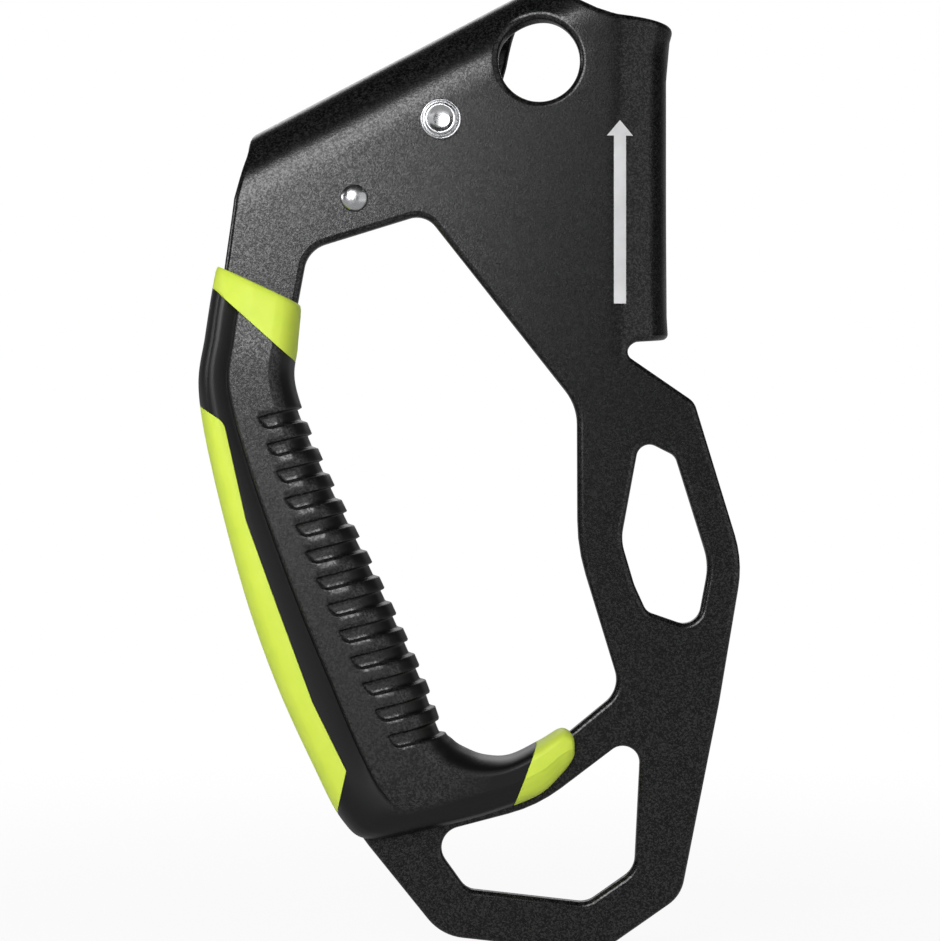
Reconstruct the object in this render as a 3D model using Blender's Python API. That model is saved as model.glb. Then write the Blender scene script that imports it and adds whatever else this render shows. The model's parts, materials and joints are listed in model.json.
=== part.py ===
"""Handled rope ascender: folded plate, moulded grip, toothed cam and trigger.

Lengths below are millimetres and angles are degrees; meshes are written in metres.
+X points from the handle to the rope, +Z up the rope, and the bare side of the plate faces -Y.
The origin lies in the rope channel, level with the cam axle.
"""
import math

import bmesh
import bpy
from mathutils import Matrix, Vector

MM = 0.001
GAP = 0.3

# Plate and its two folds
PLATE_T = 4.0
BEND_INNER_R = 7.25
BEND_OUTER_R = BEND_INNER_R + PLATE_T
PLATE_FRONT_Y = -BEND_OUTER_R
PLATE_BACK_Y = -BEND_INNER_R
PLATE_MID_Y = -BEND_INNER_R - PLATE_T / 2
NEUTRAL_SHARE = 0.36
BEND_LENGTH = math.pi * (BEND_INNER_R + NEUTRAL_SHARE * PLATE_T)
BEND_CUTS = 10
EDGE_ROUND = 1.35
EDGE_STEPS = 3

CHANNEL_X = 0.95
LIP_LENGTH = 4.2
CHANNEL_TOP_Z = 22.6
CHANNEL_LOW_Z = -47.7
FLARE = 2.5
FLARE_LENGTH = 11.0
LOW_FLARE = 0.6

SPINE_START = (-71.6, -12.3)
SPINE_ANGLE = 27.78
EAR_LOBE_R = 9.1

# Axle, stop pin and top hole, in the plate's plane
AXLE = (-36.4, 0.0)
STOP_PIN = (-54.8, -16.8)
TOP_HOLE = (-15.45, 12.5)
TOP_HOLE_R = 8.65
AXLE_R = 3.1
AXLE_HOLE_R = AXLE_R + GAP
STOP_R = 1.9
STOP_HEAD_R = 2.9
STOP_HOLE_R = STOP_R + GAP

# Grip
GROOVE_COUNT = 13
GROOVE_WIDTH = 2.8
GROOVE_DEPTH = 1.1
GROOVE_TILT = 13.5
GROOVE_LENGTH = 14.0
GROOVE_FIRST = (-74.4, -64.95)
GROOVE_MIDDLE = (-62.3, -98.7)
GROOVE_LAST = (-47.2, -131.7)
GRIP_STATIONS = [
    # palm side x, z, finger side x, z, half depth, share of the stepped section
    (-83.5, -31.4, -67.1, -39.2, 8.0, 1.0),
    (-84.5, -32.8, -66.3, -40.4, 9.6, 1.0),
    (-86.6, -45.9, -67.0, -48.4, 11.2, 1.0),
    (-88.0, -57.6, -67.3, -57.2, 11.5, 1.0),
    (-85.1, -74.8, -60.88, -74.0, 11.5, 1.0),
    (-78.5, -100.1, -48.98, -98.6, 11.5, 1.0),
    (-71.7, -119.6, -40.08, -118.4, 11.5, 1.0),
    (-63.9, -136.9, -36.0, -129.5, 11.5, 0.9),
    (-57.5, -149.1, -34.0, -132.0, 11.2, 0.5),
    (-51.4, -153.2, -31.7, -133.6, 10.8, 0.1),
    (-38.3, -150.9, -27.2, -135.3, 9.8, 0.0),
    (-25.9, -147.7, -21.7, -135.3, 9.0, 0.0),
    (-15.7, -143.8, -15.3, -132.2, 8.0, 0.0),
    (-10.6, -139.2, -11.0, -129.7, 6.8, 0.0),
    (-8.6, -136.6, -8.8, -130.4, 5.8, 0.0),
    (-8.0, -135.2, -8.1, -131.6, 4.6, 0.0),
]
STEPPED_SECTION = [
    # share of the way from palm to fingers, share of the half depth
    (0.0, 0.0),
    (0.012, 0.28),
    (0.04, 0.52),
    (0.085, 0.7),
    (0.15, 0.79),
    (0.22, 0.79),
    (0.285, 0.77),
    (0.315, 0.81),
    (0.345, 0.965),
    (0.37, 1.0),
    (0.79, 1.0),
    (0.85, 0.96),
    (0.92, 0.8),
    (0.975, 0.52),
    (1.0, 0.2),
]
ROUND_SECTION = [
    (0.0, 0.0),
    (0.012, 0.26),
    (0.045, 0.48),
    (0.1, 0.65),
    (0.17, 0.77),
    (0.24, 0.85),
    (0.31, 0.91),
    (0.37, 0.95),
    (0.43, 0.98),
    (0.5, 1.0),
    (0.74, 1.0),
    (0.83, 0.95),
    (0.915, 0.79),
    (0.975, 0.52),
    (1.0, 0.2),
]

# Cam, drawn about the axle
SPIRAL_GROWTH = 0.404
SPIRAL_R = 40.9
SPIRAL_AT = -22.0
FACE_TOP_ANGLE = 10.6
FACE_LOW_ANGLE = -37.0
HUB_R = 7.5
HUB_BORE_R = 4.6
WEB_Y = (-5.85, -1.65)
HUB_Y = (-5.85, 0.6)
HEAD_Y = (-5.9, 5.9)
TOOTH_R = 0.75
TOOTH_HEIGHT = 1.3
TOOTH_ROWS = 8
SLOT_WIDTH = 1.8
SLOT_ANGLE = -12.0
PEG_R = 1.0
HOOK_HOLE_R = 0.95

# Trigger, drawn about its pin, which is placed from the axle
TRIGGER_PIN = (13.0, -15.5)
PIN_R = 1.6
PIN_TOP_Y = 6.6
LEVER_Y = (-0.55, 1.95)
NOSE = (-8.9, -7.6)
TAB = (6.5, -11.5)
TAB_TOP_Y = 14.0
SPRING_PEG = (9.5, -4.5)

# Springs
CAM_SPRING_R = 5.7
CAM_SPRING_WIRE = 1.2
CAM_SPRING_Y = (1.6, 5.2)
CAM_SPRING_LEG = (13.0, 3.9)
CAM_HOOK = (9.6, 1.0)
CAM_HOOK_Y = -4.0
TRIGGER_SPRING_R = 2.9
TRIGGER_SPRING_WIRE = 0.6
TRIGGER_SPRING_Y = (2.65, 5.0)
TRIGGER_SPRING_LEG = (12.0, 0.0)
TRIGGER_HOOK = (-4.6, -1.8)
TRIGGER_HOOK_Y = 0.2
POINTS_PER_CURL = 10

COLOURS = {
    "frame_black": ((0.035, 0.036, 0.038), 0.55, 0.3),
    "grip_black": ((0.03, 0.03, 0.031), 0.7, 0.0),
    "lime": ((0.62, 1.0, 0.05), 0.5, 0.0),
    "steel": ((0.62, 0.63, 0.64), 0.28, 1.0),
    "spring_steel": ((0.5, 0.5, 0.52), 0.3, 1.0),
    "bronze": ((0.55, 0.38, 0.18), 0.4, 1.0),
    "trigger_black": ((0.03, 0.03, 0.03), 0.6, 0.0),
}


def clear_scene():
    for item in list(bpy.data.objects):
        bpy.data.objects.remove(item, do_unlink=True)


def polar(radius, degrees):
    angle = math.radians(degrees)
    return (radius * math.cos(angle), radius * math.sin(angle))


def material(name):
    found = bpy.data.materials.get(name)
    if found:
        return found
    colour, roughness, metallic = COLOURS[name]
    made = bpy.data.materials.new(name)
    made.use_nodes = True
    shader = made.node_tree.nodes["Principled BSDF"]
    shader.inputs["Base Color"].default_value = (*colour, 1.0)
    shader.inputs["Roughness"].default_value = roughness
    shader.inputs["Metallic"].default_value = metallic
    return made


def finish_mesh(bm, name):
    """Turn a bmesh drawn in millimetres into a mesh in metres with its faces out."""
    bmesh.ops.remove_doubles(bm, verts=bm.verts, dist=1e-4)
    bmesh.ops.triangulate(bm, faces=bm.faces)
    bmesh.ops.recalc_face_normals(bm, faces=bm.faces)
    bmesh.ops.scale(bm, vec=(MM, MM, MM), verts=bm.verts)
    mesh = bpy.data.meshes.new(name)
    bm.to_mesh(mesh)
    bm.free()
    return mesh


def add_object(name, mesh, look=None, parent=None):
    made = bpy.data.objects.new(name, mesh)
    bpy.context.collection.objects.link(made)
    if look:
        mesh.materials.clear()
        mesh.materials.append(material(look))
        mesh.shade_smooth()
        mesh.set_sharp_from_angle(angle=math.radians(32))
    made.parent = parent
    return made


def pivot(name, x, z, parent=None):
    made = bpy.data.objects.new(name, None)
    bpy.context.collection.objects.link(made)
    made.location = (x * MM, 0.0, z * MM)
    made.parent = parent
    return made


def combine(mesh, other, operation):
    """Boolean of two meshes that share a frame; both operands are used up."""
    body = bpy.data.objects.new("body", mesh)
    tool = bpy.data.objects.new("tool", other)
    for item in (body, tool):
        bpy.context.collection.objects.link(item)
    tool.hide_render = True
    tool.display_type = "WIRE"
    step = body.modifiers.new("combine", "BOOLEAN")
    step.operation = operation
    step.solver = "EXACT"
    step.object = tool
    graph = bpy.context.evaluated_depsgraph_get()
    result = bpy.data.meshes.new_from_object(body.evaluated_get(graph))
    for item in (body, tool):
        bpy.data.objects.remove(item, do_unlink=True)
    return result


def rounded(corners, arc_step=14.0):
    """Outline through (x, z, radius) corners, each replaced by an arc of its radius."""
    points = []
    count = len(corners)
    for index, (x, z, radius) in enumerate(corners):
        here = Vector((x, z))
        before = Vector(corners[index - 1][:2])
        after = Vector(corners[(index + 1) % count][:2])
        into = (here - before).normalized()
        away = (after - here).normalized()
        turn = into.angle_signed(away)
        if radius == 0 or abs(turn) < 0.01:
            points.append(here)
            continue
        reach = radius * math.tan(abs(turn) / 2)
        side = -1 if turn > 0 else 1
        normal = Vector((-into.y, into.x)) * side
        start = here - into * reach
        centre = start + normal * radius
        steps = max(1, math.ceil(math.degrees(abs(turn)) / arc_step))
        for step in range(steps + 1):
            spin = Matrix.Rotation(-turn * step / steps, 2)
            points.append(centre + spin @ (start - centre))
    return points


def offset(points, distance):
    """Move an outline to its left by a distance, along the mean normal at each point."""
    moved = []
    count = len(points)
    for index, here in enumerate(points):
        into = (here - points[index - 1]).normalized()
        away = (points[(index + 1) % count] - here).normalized()
        normal = Vector((-into.y - away.y, into.x + away.x)).normalized()
        share = max(0.5, normal.dot(Vector((-into.y, into.x))))
        moved.append(here + normal * distance / share)
    return moved


def clockwise(points):
    area = sum(a.x * b.y - b.x * a.y for a, b in zip(points, points[1:] + points[:1]))
    return points if area < 0 else points[::-1]


def edge_levels(front, back, rounding, steps):
    """Levels (y, inset) down the side of a plate whose two edges are rounded in steps."""
    if rounding == 0:
        return [(front, 0.0), (back, 0.0)]
    levels = []
    for step in range(steps + 1):
        sink, rise = polar(rounding, 90.0 * step / steps)
        levels.append((front + rounding - sink, rounding - rise))
    return levels + [(front + back - y, inset) for y, inset in reversed(levels)]


def plate_mesh(outlines, front, back, rounding, steps=1):
    """Plate between two y levels from an outer outline and hole outlines, edges rounded."""
    bm = bmesh.new()
    levels = edge_levels(front, back, rounding, steps)
    caps = ([], [])
    for number, outline in enumerate(outlines):
        points = clockwise(outline)
        side = -1 if number == 0 else 1
        rings = []
        for y, inset in levels:
            ring = [bm.verts.new((p.x, y, p.y)) for p in offset(points, side * inset)]
            rings.append(ring)
        for ring, after in zip(rings, rings[1:]):
            for index in range(len(ring)):
                last = index - 1
                bm.faces.new((ring[last], ring[index], after[index], after[last]))
        for cap, ring in zip(caps, (rings[0], rings[-1])):
            cap += [bm.edges.get((ring[index - 1], ring[index])) for index in range(len(ring))]
    for cap in caps:
        bmesh.ops.triangle_fill(bm, edges=cap, use_beauty=True, normal=(0, -1, 0))
    return bm


def turned(profile, sides=24, centre=(0.0, 0.0)):
    """Solid of revolution about a Y axis from (radius, y) points, closed on the axis."""
    bm = bmesh.new()
    rings = []
    for radius, y in profile:
        if radius == 0:
            rings.append([bm.verts.new((centre[0], y, centre[1]))])
            continue
        ring = []
        for step in range(sides):
            x, z = polar(radius, 360.0 * step / sides)
            ring.append(bm.verts.new((centre[0] + x, y, centre[1] + z)))
        rings.append(ring)
    pairs = list(zip(rings, rings[1:]))
    if profile[0][0] and profile[-1][0]:
        pairs.append((rings[-1], rings[0]))
    for ring, after in pairs:
        for index in range(sides):
            loop = [ring[index % len(ring)], ring[(index + 1) % len(ring)]]
            loop += [after[(index + 1) % len(after)], after[index % len(after)]]
            bm.faces.new(list(dict.fromkeys(loop)))
    return bm


def rod(radius, y_range, centre=(0.0, 0.0), sides=24):
    low, high = y_range
    return turned([(0, low), (radius, low), (radius, high), (0, high)], sides, centre)


def tube_ring(outer, inner, y_range, bevel=0.15):
    low, high = y_range
    profile = [(inner, low), (outer - bevel, low), (outer, low + bevel)]
    profile += [(outer, high - bevel), (outer - bevel, high), (inner, high)]
    return turned(profile)


# Frame
def along_spine(distance, beyond):
    """Point of the flat blank, measured along the spine fold and out past its start."""
    d = Vector(polar(1.0, SPINE_ANGLE))
    n = Vector((-d.y, d.x))
    return Vector(SPINE_START) + d * distance + n * beyond


def spine_point(distance, beyond, radius):
    place = along_spine(distance, beyond)
    return (place.x, place.y, radius)


def blank_outline():
    """Outer edge of the flat blank, with the lip and the ear laid out past their folds."""
    lip_edge = CHANNEL_X + BEND_LENGTH + LIP_LENGTH
    corners = [
        (CHANNEL_X, CHANNEL_TOP_Z, 0),
        (CHANNEL_X + 15.0, 20.2, 10.0),
        (lip_edge, 14.0, 5.0),
        (lip_edge, -40.0, 5.0),
        (lip_edge - 10.0, -44.6, 10.0),
        (CHANNEL_X + 13.6, -46.5, 20.0),
        (-0.6, CHANNEL_LOW_Z, 1.98),
        (17.6, -60.1, 4.0),
        (27.95, -94.0, 25.0),
        (22.85, -124.3, 60.0),
        (14.75, -165.25, 8.0),
        (-2.7, -177.45, 9.0),
        (-36.3, -173.7, 11.0),
        (-53.1, -152.9, 20.0),
        (-61.4, -136.8, 40.0),
        (-80.5, -84.1, 60.0),
        (-85.0, -56.5, 40.0),
        (-82.4, -31.0, 60.0),
        spine_point(-9.9, 0.0, 0),
        spine_point(-2.9, 7.0, 8.0),
        spine_point(-0.2, 14.0, 12.0),
        spine_point(8.5, BEND_LENGTH, 8.0),
        spine_point(40.2, BEND_LENGTH + 16.5, EAR_LOBE_R),
        spine_point(55.9, BEND_LENGTH, 12.0),
        (-3.1, 23.8, 0),
    ]
    return rounded(corners)


def hand_opening():
    return rounded([
        (-39.7, -20.0, 5.0),
        (-7.4, -60.9, 11.6),
        (-7.3, -91.2, 40.0),
        (1.9, -121.3, 6.1),
        (-14.0, -134.4, 8.0),
        (-23.8, -138.2, 12.0),
        (-36.0, -134.6, 10.0),
        (-68.0, -64.0, 30.0),
        (-69.7, -54.4, 30.0),
        (-64.7, -27.7, 6.4),
    ])


def lower_hole():
    return rounded([
        (6.3, -129.4, 3.6),
        (4.8, -159.5, 5.0),
        (-5.3, -166.6, 5.0),
        (-31.0, -163.7, 4.0),
        (-39.2, -152.3, 4.5),
        (-15.8, -146.15, 32.0),
    ])


def side_hole():
    return rounded([
        (6.0, -67.8, 2.8),
        (13.5, -71.6, 2.8),
        (20.7, -94.6, 13.0),
        (18.1, -108.4, 3.8),
        (7.4, -104.7, 3.0),
        (4.8, -99.0, 12.0),
        (2.0, -89.5, 10.0),
    ])


def top_hole():
    """Round hole of the blank; the spine fold runs through it."""
    steps = 48
    points = [polar(TOP_HOLE_R, 360.0 * step / steps) for step in range(steps)]
    return [Vector(TOP_HOLE) + Vector(point) for point in points]


def fold(place):
    """Carry a point of the flat blank round the channel fold and the spine fold."""
    x, y, z = place
    radius = -y
    past = x - CHANNEL_X
    if past > 0 and z < CHANNEL_TOP_Z + 1.0 and z > CHANNEL_LOW_Z - 1.0:
        turn = min(math.pi, math.pi * past / BEND_LENGTH)
        top = max(0.0, 1.0 - (CHANNEL_TOP_Z - z) / FLARE_LENGTH)
        low = max(0.0, 1.0 - (z - CHANNEL_LOW_Z) / FLARE_LENGTH)
        flare = (FLARE * top ** 2 + LOW_FLARE * low ** 2) * math.sin(turn)
        rest = max(0.0, past - BEND_LENGTH)
        return (CHANNEL_X + radius * math.sin(turn) + flare - rest, -radius * math.cos(turn), z)
    d = Vector(polar(1.0, SPINE_ANGLE))
    n = Vector((-d.y, d.x))
    arm = Vector((x, z)) - Vector(SPINE_START)
    past = arm.dot(n)
    if past > 0:
        turn = min(math.pi, math.pi * past / BEND_LENGTH)
        rest = max(0.0, past - BEND_LENGTH)
        flat = Vector(SPINE_START) + d * arm.dot(d) + n * (radius * math.sin(turn) - rest)
        return (flat.x, -radius * math.cos(turn), flat.y)
    return (x, y, z)


def cut_along_folds(bm):
    """Add edges across the blank where it bends, square to each fold."""
    n = polar(1.0, SPINE_ANGLE + 90.0)
    for step in range(BEND_CUTS + 1):
        reach = BEND_LENGTH * step / BEND_CUTS
        spine = along_spine(0.0, reach)
        planes = [((CHANNEL_X + reach, 0, 0), (1, 0, 0)), ((spine.x, 0, spine.y), (n[0], 0, n[1]))]
        for number, (point, normal) in enumerate(planes):
            faces = [f for f in bm.faces if near_fold(f, number)]
            edges = {e for f in faces for e in f.edges}
            verts = {v for f in faces for v in f.verts}
            bmesh.ops.bisect_plane(bm, geom=list(verts) + list(edges) + faces,
                                   plane_co=point, plane_no=normal, dist=1e-5)


def near_fold(face, number):
    """Whether a face lies by the rope channel (0) or by the spine (1)."""
    centre = face.calc_center_median()
    in_channel = centre.x > CHANNEL_X - 12.0 and centre.z > CHANNEL_LOW_Z - 1.5
    return in_channel if number == 0 else centre.z > -45.0


def build_frame():
    outlines = [blank_outline(), hand_opening(), lower_hole(), side_hole(), top_hole()]
    bm = plate_mesh(outlines, PLATE_FRONT_Y, PLATE_BACK_Y, EDGE_ROUND, EDGE_STEPS)
    cut_along_folds(bm)
    for vert in bm.verts:
        vert.co = fold(vert.co)
    mesh = finish_mesh(bm, "frame")
    tools = [
        finish_mesh(rod(AXLE_HOLE_R, (-20.0, 20.0), AXLE, 24), "axle_hole"),
        finish_mesh(rod(STOP_HOLE_R, (-20.0, -3.0), STOP_PIN, 20), "stop_hole"),
    ]
    for tool in tools:
        mesh = combine(mesh, tool, "DIFFERENCE")
    add_object("frame", mesh, "frame_black")


# Grip
def smooth_between(rows, share, index):
    """Catmull-Rom value between row index and the next one."""
    last = len(rows) - 1
    a, b, c, d = (rows[min(max(index + step, 0), last)] for step in (-1, 0, 1, 2))
    t = share
    result = []
    for p, q, r, s in zip(a, b, c, d):
        value = 2 * q + (r - p) * t + (2 * p - 5 * q + 4 * r - s) * t * t
        result.append((value + (3 * q - p - 3 * r + s) * t ** 3) / 2)
    return result


def grip_section(stepped):
    """Closed section between the round one (0) and the one with a step up to the panel (1)."""
    half = []
    for plain, step in zip(ROUND_SECTION, STEPPED_SECTION):
        half.append([a + (b - a) * stepped for a, b in zip(plain, step)])
    return half + [(share, -height) for share, height in reversed(half[1:])]


def grip_loft(inset, stepped=1.0):
    """Grip as a loft of closed sections, drawn in from its surface by an inset."""
    rows = []
    for index in range(len(GRIP_STATIONS) - 1):
        shares = (0.0, 0.5) if 1 <= index <= 9 else (0.0,)
        rows += [smooth_between(GRIP_STATIONS, share, index) for share in shares]
    rows.append(GRIP_STATIONS[-1])
    bm = bmesh.new()
    rings = []
    for palm_x, palm_z, finger_x, finger_z, depth, step in rows:
        palm = Vector((palm_x, palm_z))
        across = Vector((finger_x, finger_z)) - palm
        shrink = 1.0 - 2 * inset / across.length
        middle = palm + across / 2
        ring = []
        for share, height in grip_section(min(1.0, max(0.0, step)) * stepped):
            flat = middle + across * (share - 0.5) * shrink
            ring.append(bm.verts.new((flat.x, PLATE_MID_Y - height * (depth - inset), flat.y)))
        rings.append(ring)
    for ring, after in zip(rings, rings[1:]):
        for index in range(len(ring)):
            bm.faces.new((ring[index - 1], ring[index], after[index], after[index - 1]))
    bm.faces.new(rings[0])
    bm.faces.new(rings[-1])
    return finish_mesh(bm, "grip")


def prism(corners, y_range, arc_step=14.0):
    return finish_mesh(plate_mesh([rounded(corners, arc_step)], *y_range, 0.0), "prism")


def groove_tools():
    """Slots across the finger side, cut only as deep as the grooves are."""
    first, middle, last = (Vector(place) for place in (GROOVE_FIRST, GROOVE_MIDDLE, GROOVE_LAST))
    control = middle * 2 - (first + last) / 2
    lean = Vector(polar(1.0, GROOVE_TILT))
    up = Vector((-lean.y, lean.x)) * GROOVE_WIDTH / 2
    bm = bmesh.new()
    for number in range(GROOVE_COUNT):
        t = number / (GROOVE_COUNT - 1)
        tip = first * (1 - t) ** 2 + control * 2 * t * (1 - t) + last * t * t
        end = tip + lean * GROOVE_LENGTH
        corners = [(*(tip + up), 1.3), (*(end + up), 0), (*(end - up), 0), (*(tip - up), 1.3)]
        slot = plate_mesh([rounded(corners, 30.0)], PLATE_MID_Y - 14, PLATE_MID_Y + 14, 0.0)
        piece = finish_mesh(slot, "slot")
        bm.from_mesh(piece)
    mesh = bpy.data.meshes.new("slots")
    bm.to_mesh(mesh)
    bm.free()
    return combine(mesh, grip_loft(GROOVE_DEPTH), "DIFFERENCE")


def build_grip():
    bar = [offset(clockwise(blank_outline()), GAP)]
    bar += [offset(clockwise(hole), -GAP) for hole in (hand_opening(), lower_hole())]
    y_range = (PLATE_FRONT_Y - GAP, PLATE_BACK_Y + GAP)
    tunnel = finish_mesh(plate_mesh(bar, *y_range, 0.0), "tunnel")
    whole = combine(grip_loft(0.0), tunnel.copy(), "DIFFERENCE")
    smooth = combine(grip_loft(0.0, 0.0), tunnel, "DIFFERENCE")
    through = (PLATE_MID_Y - 20, PLATE_MID_Y + 20)
    band = [(-95.0, -26.8, 0), (-60.0, -25.0, 0), (-60.0, -58.0, 0)]
    tip = [(-15.9, -132.3, 0), (-12.2, -122.3, 0), (0.0, -122.0, 0)]
    tip += [(0.0, -152.0, 0), (-23.2, -152.0, 0)]
    strip = [(-95.0, -56.1, 0), (-81.9, -64.6, 1.6), (-77.3, -85.2, 60.0), (-63.3, -123.5, 60.0)]
    strip += [(-56.2, -137.9, 0), (-59.0, -150.0, 0), (-95.0, -150.0, 0)]
    trims = [("grip_top_band", smooth, band), ("grip_tip_band", smooth, tip)]
    trims.append(("grip_back_strip", whole, strip))
    body = whole.copy()
    for name, shape, corners in trims:
        add_object(name, combine(shape.copy(), prism(corners, through), "INTERSECT"), "lime")
        wider = plate_mesh([offset(clockwise(rounded(corners)), GAP)], *through, 0.0)
        body = combine(body, finish_mesh(wider, "wider"), "DIFFERENCE")
    body = combine(body, groove_tools(), "DIFFERENCE")
    add_object("grip_body", body, "grip_black")


# Cam
def spiral(degrees):
    """Radius of the toothed face: a log spiral, so rope of any size meets it at one angle."""
    return SPIRAL_R * math.exp(SPIRAL_GROWTH * math.radians(SPIRAL_AT - degrees))


def cam_face(steps=10):
    span = FACE_LOW_ANGLE - FACE_TOP_ANGLE
    angles = [FACE_TOP_ANGLE + span * step / steps for step in range(steps + 1)]
    return [Vector(polar(spiral(angle), angle)) for angle in angles]


def cam_teeth():
    """Rows of leaning points on the toothed face, two columns each side of the slot."""
    teeth = bmesh.new()
    for row in range(TOOTH_ROWS):
        angle = FACE_TOP_ANGLE - 5.0 - row * 5.0
        columns = (-4.2, -1.9, 1.9, 4.2) if row % 2 else (-3.05, 3.05)
        for y in columns:
            foot = Vector((*polar(spiral(angle) - 0.8, angle), 0))
            lean = Vector((*polar(1.0, angle - 25.0), 0))
            spin = Vector((lean.x, 0, lean.y)).to_track_quat("Z", "Y").to_matrix().to_4x4()
            height = TOOTH_HEIGHT + 0.8
            middle = Vector((foot.x, y, foot.y)) + Vector((lean.x, 0, lean.y)) * height / 2
            bmesh.ops.create_cone(teeth, cap_ends=True, segments=7, radius1=TOOTH_R, radius2=0.2,
                                  depth=height, matrix=Matrix.Translation(middle) @ spin)
    return finish_mesh(teeth, "teeth")


def cam_outline():
    """Side view of the cam's web: toothed face, lug for the trigger pin, and neck to the hub."""
    upper = [(2.0, 7.2, 0), (9.0, 5.0, 12.0), (15.0, 2.2, 10.0), (26.0, 2.2, 6.0)]
    face = [(*point, 0) for point in cam_face()]
    lower = [(31.5, -28.5, 1.5), (26.5, -24.5, 6.0), (20.0, -22.6, 8.0)]
    lug = [(TRIGGER_PIN[0] + 1.0, TRIGGER_PIN[1] - 4.8, 4.0), (8.0, -18.4, 3.0)]
    neck = [(5.0, -11.0, 6.0), (1.0, -7.4, 0)]
    return rounded(upper + face + lower + lug + neck)


def head_outline():
    """Side view of the full-width block that carries the teeth."""
    shoulder = [(31.5, -28.5, 1.5), (29.0, -26.0, 4.0), (27.0, -8.0, 20.0), (27.5, 2.6, 1.0)]
    return rounded([(*point, 0) for point in cam_face()] + shoulder)


def cam_slot():
    """Slot through the toothed face that lets mud out, square to the face."""
    middle = Vector(polar(33.5, SLOT_ANGLE))
    return [(middle.x + x, middle.y + z, 1.2) for x, z in ((0, 4), (15, 4), (15, -4), (0, -4))]


def build_cam(parent):
    cam = finish_mesh(plate_mesh([cam_outline()], *WEB_Y, 0.5), "web")
    peg = Vector(TRIGGER_PIN) + Vector(SPRING_PEG)
    added = [
        finish_mesh(plate_mesh([head_outline()], *HEAD_Y, 0.5), "head"),
        finish_mesh(rod(HUB_R, HUB_Y), "hub"),
        finish_mesh(rod(PEG_R, (WEB_Y[0] + 1.0, HEAD_Y[1]), peg, 14), "peg"),
        cam_teeth(),
    ]
    for piece in added:
        cam = combine(cam, piece, "UNION")
    cut = [
        finish_mesh(rod(HUB_BORE_R, (-10, 10)), "bore"),
        finish_mesh(rod(PIN_R + GAP, (-10, 10), TRIGGER_PIN, 20), "pin_hole"),
        finish_mesh(rod(HOOK_HOLE_R, (-10, 10), CAM_HOOK, 12), "hook_hole"),
        prism(cam_slot(), (-SLOT_WIDTH / 2, SLOT_WIDTH / 2), 30.0),
    ]
    for tool in cut:
        cam = combine(cam, tool, "DIFFERENCE")
    add_object("cam", cam, "steel", parent)
    bush = tube_ring(HUB_BORE_R - GAP, AXLE_R + GAP, (HUB_Y[0], 5.8))
    add_object("cam_bush", finish_mesh(bush, "cam_bush"), "bronze", parent)


def build_axle():
    head = PLATE_FRONT_Y - GAP
    end = BEND_OUTER_R + GAP
    profile = [(0, head - 0.55), (2.3, head - 0.6), (2.6, head - 1.15), (3.2, head - 1.2)]
    profile += [(3.5, head - 0.95), (3.55, head - 0.3), (4.05, head - 0.3), (4.15, head - 0.5)]
    profile += [(4.35, head - 0.4), (4.35, head), (AXLE_R, head)]
    profile += [(AXLE_R, end + 1.1), (4.4, end + 1.1), (4.6, end + 1.5), (4.1, end + 2.2)]
    profile += [(1.9, end + 2.2), (1.2, end + 1.2), (0, end + 1.1)]
    add_object("cam_axle", finish_mesh(turned(profile, 28, AXLE), "cam_axle"), "steel")
    washers = [
        ("axle_end_washer", 6.0, (end, end + 0.8)),
        ("cam_washer_plate", 5.6, (PLATE_BACK_Y + GAP, WEB_Y[0] - GAP)),
        ("cam_washer_ear", 6.2, (6.1, BEND_INNER_R - GAP)),
    ]
    for name, radius, y_range in washers:
        bm = tube_ring(radius, AXLE_R + GAP, y_range)
        bmesh.ops.translate(bm, vec=(AXLE[0], 0, AXLE[1]), verts=bm.verts)
        add_object(name, finish_mesh(bm, name), "steel")


def build_stop_pin():
    head = PLATE_FRONT_Y - GAP
    profile = [(0, head - 1.4)]
    for angle in range(72, -1, -18):
        x, z = polar(STOP_HEAD_R, angle)
        profile.append((x, head - 0.2 - 1.2 * z / STOP_HEAD_R))
    profile += [(STOP_HEAD_R, head), (STOP_R, head), (STOP_R, PLATE_BACK_Y + GAP)]
    profile += [(3.0, PLATE_BACK_Y + GAP), (3.0, PLATE_BACK_Y + 1.3), (STOP_R, PLATE_BACK_Y + 1.5)]
    profile += [(STOP_R, 2.0), (1.6, 2.3), (0, 2.3)]
    add_object("stop_pin", finish_mesh(turned(profile, 24, STOP_PIN), "stop_pin"), "steel")


# Trigger
def lever_outline():
    """Side view of the lever: boss, stem down to the tab, and arm out to the catch nose."""
    boss = [(-2.8, 3.2, 2.6), (3.2, 3.2, 3.0), (4.4, -3.5, 6.0)]
    stem = [(TAB[0] + 2.9, TAB[1] - 1.7, 1.8), (TAB[0] - 1.9, TAB[1] - 3.3, 1.8), (1.0, -5.2, 2.0)]
    arm = [(-4.0, -5.4, 3.0), (NOSE[0] + 1.7, NOSE[1] - 1.3, 1.4)]
    nose = [(NOSE[0] - 1.5, NOSE[1] - 0.8, 1.2), (NOSE[0] - 0.7, NOSE[1] + 2.0, 1.2)]
    return rounded(boss + stem + arm + nose, 20.0)


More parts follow.
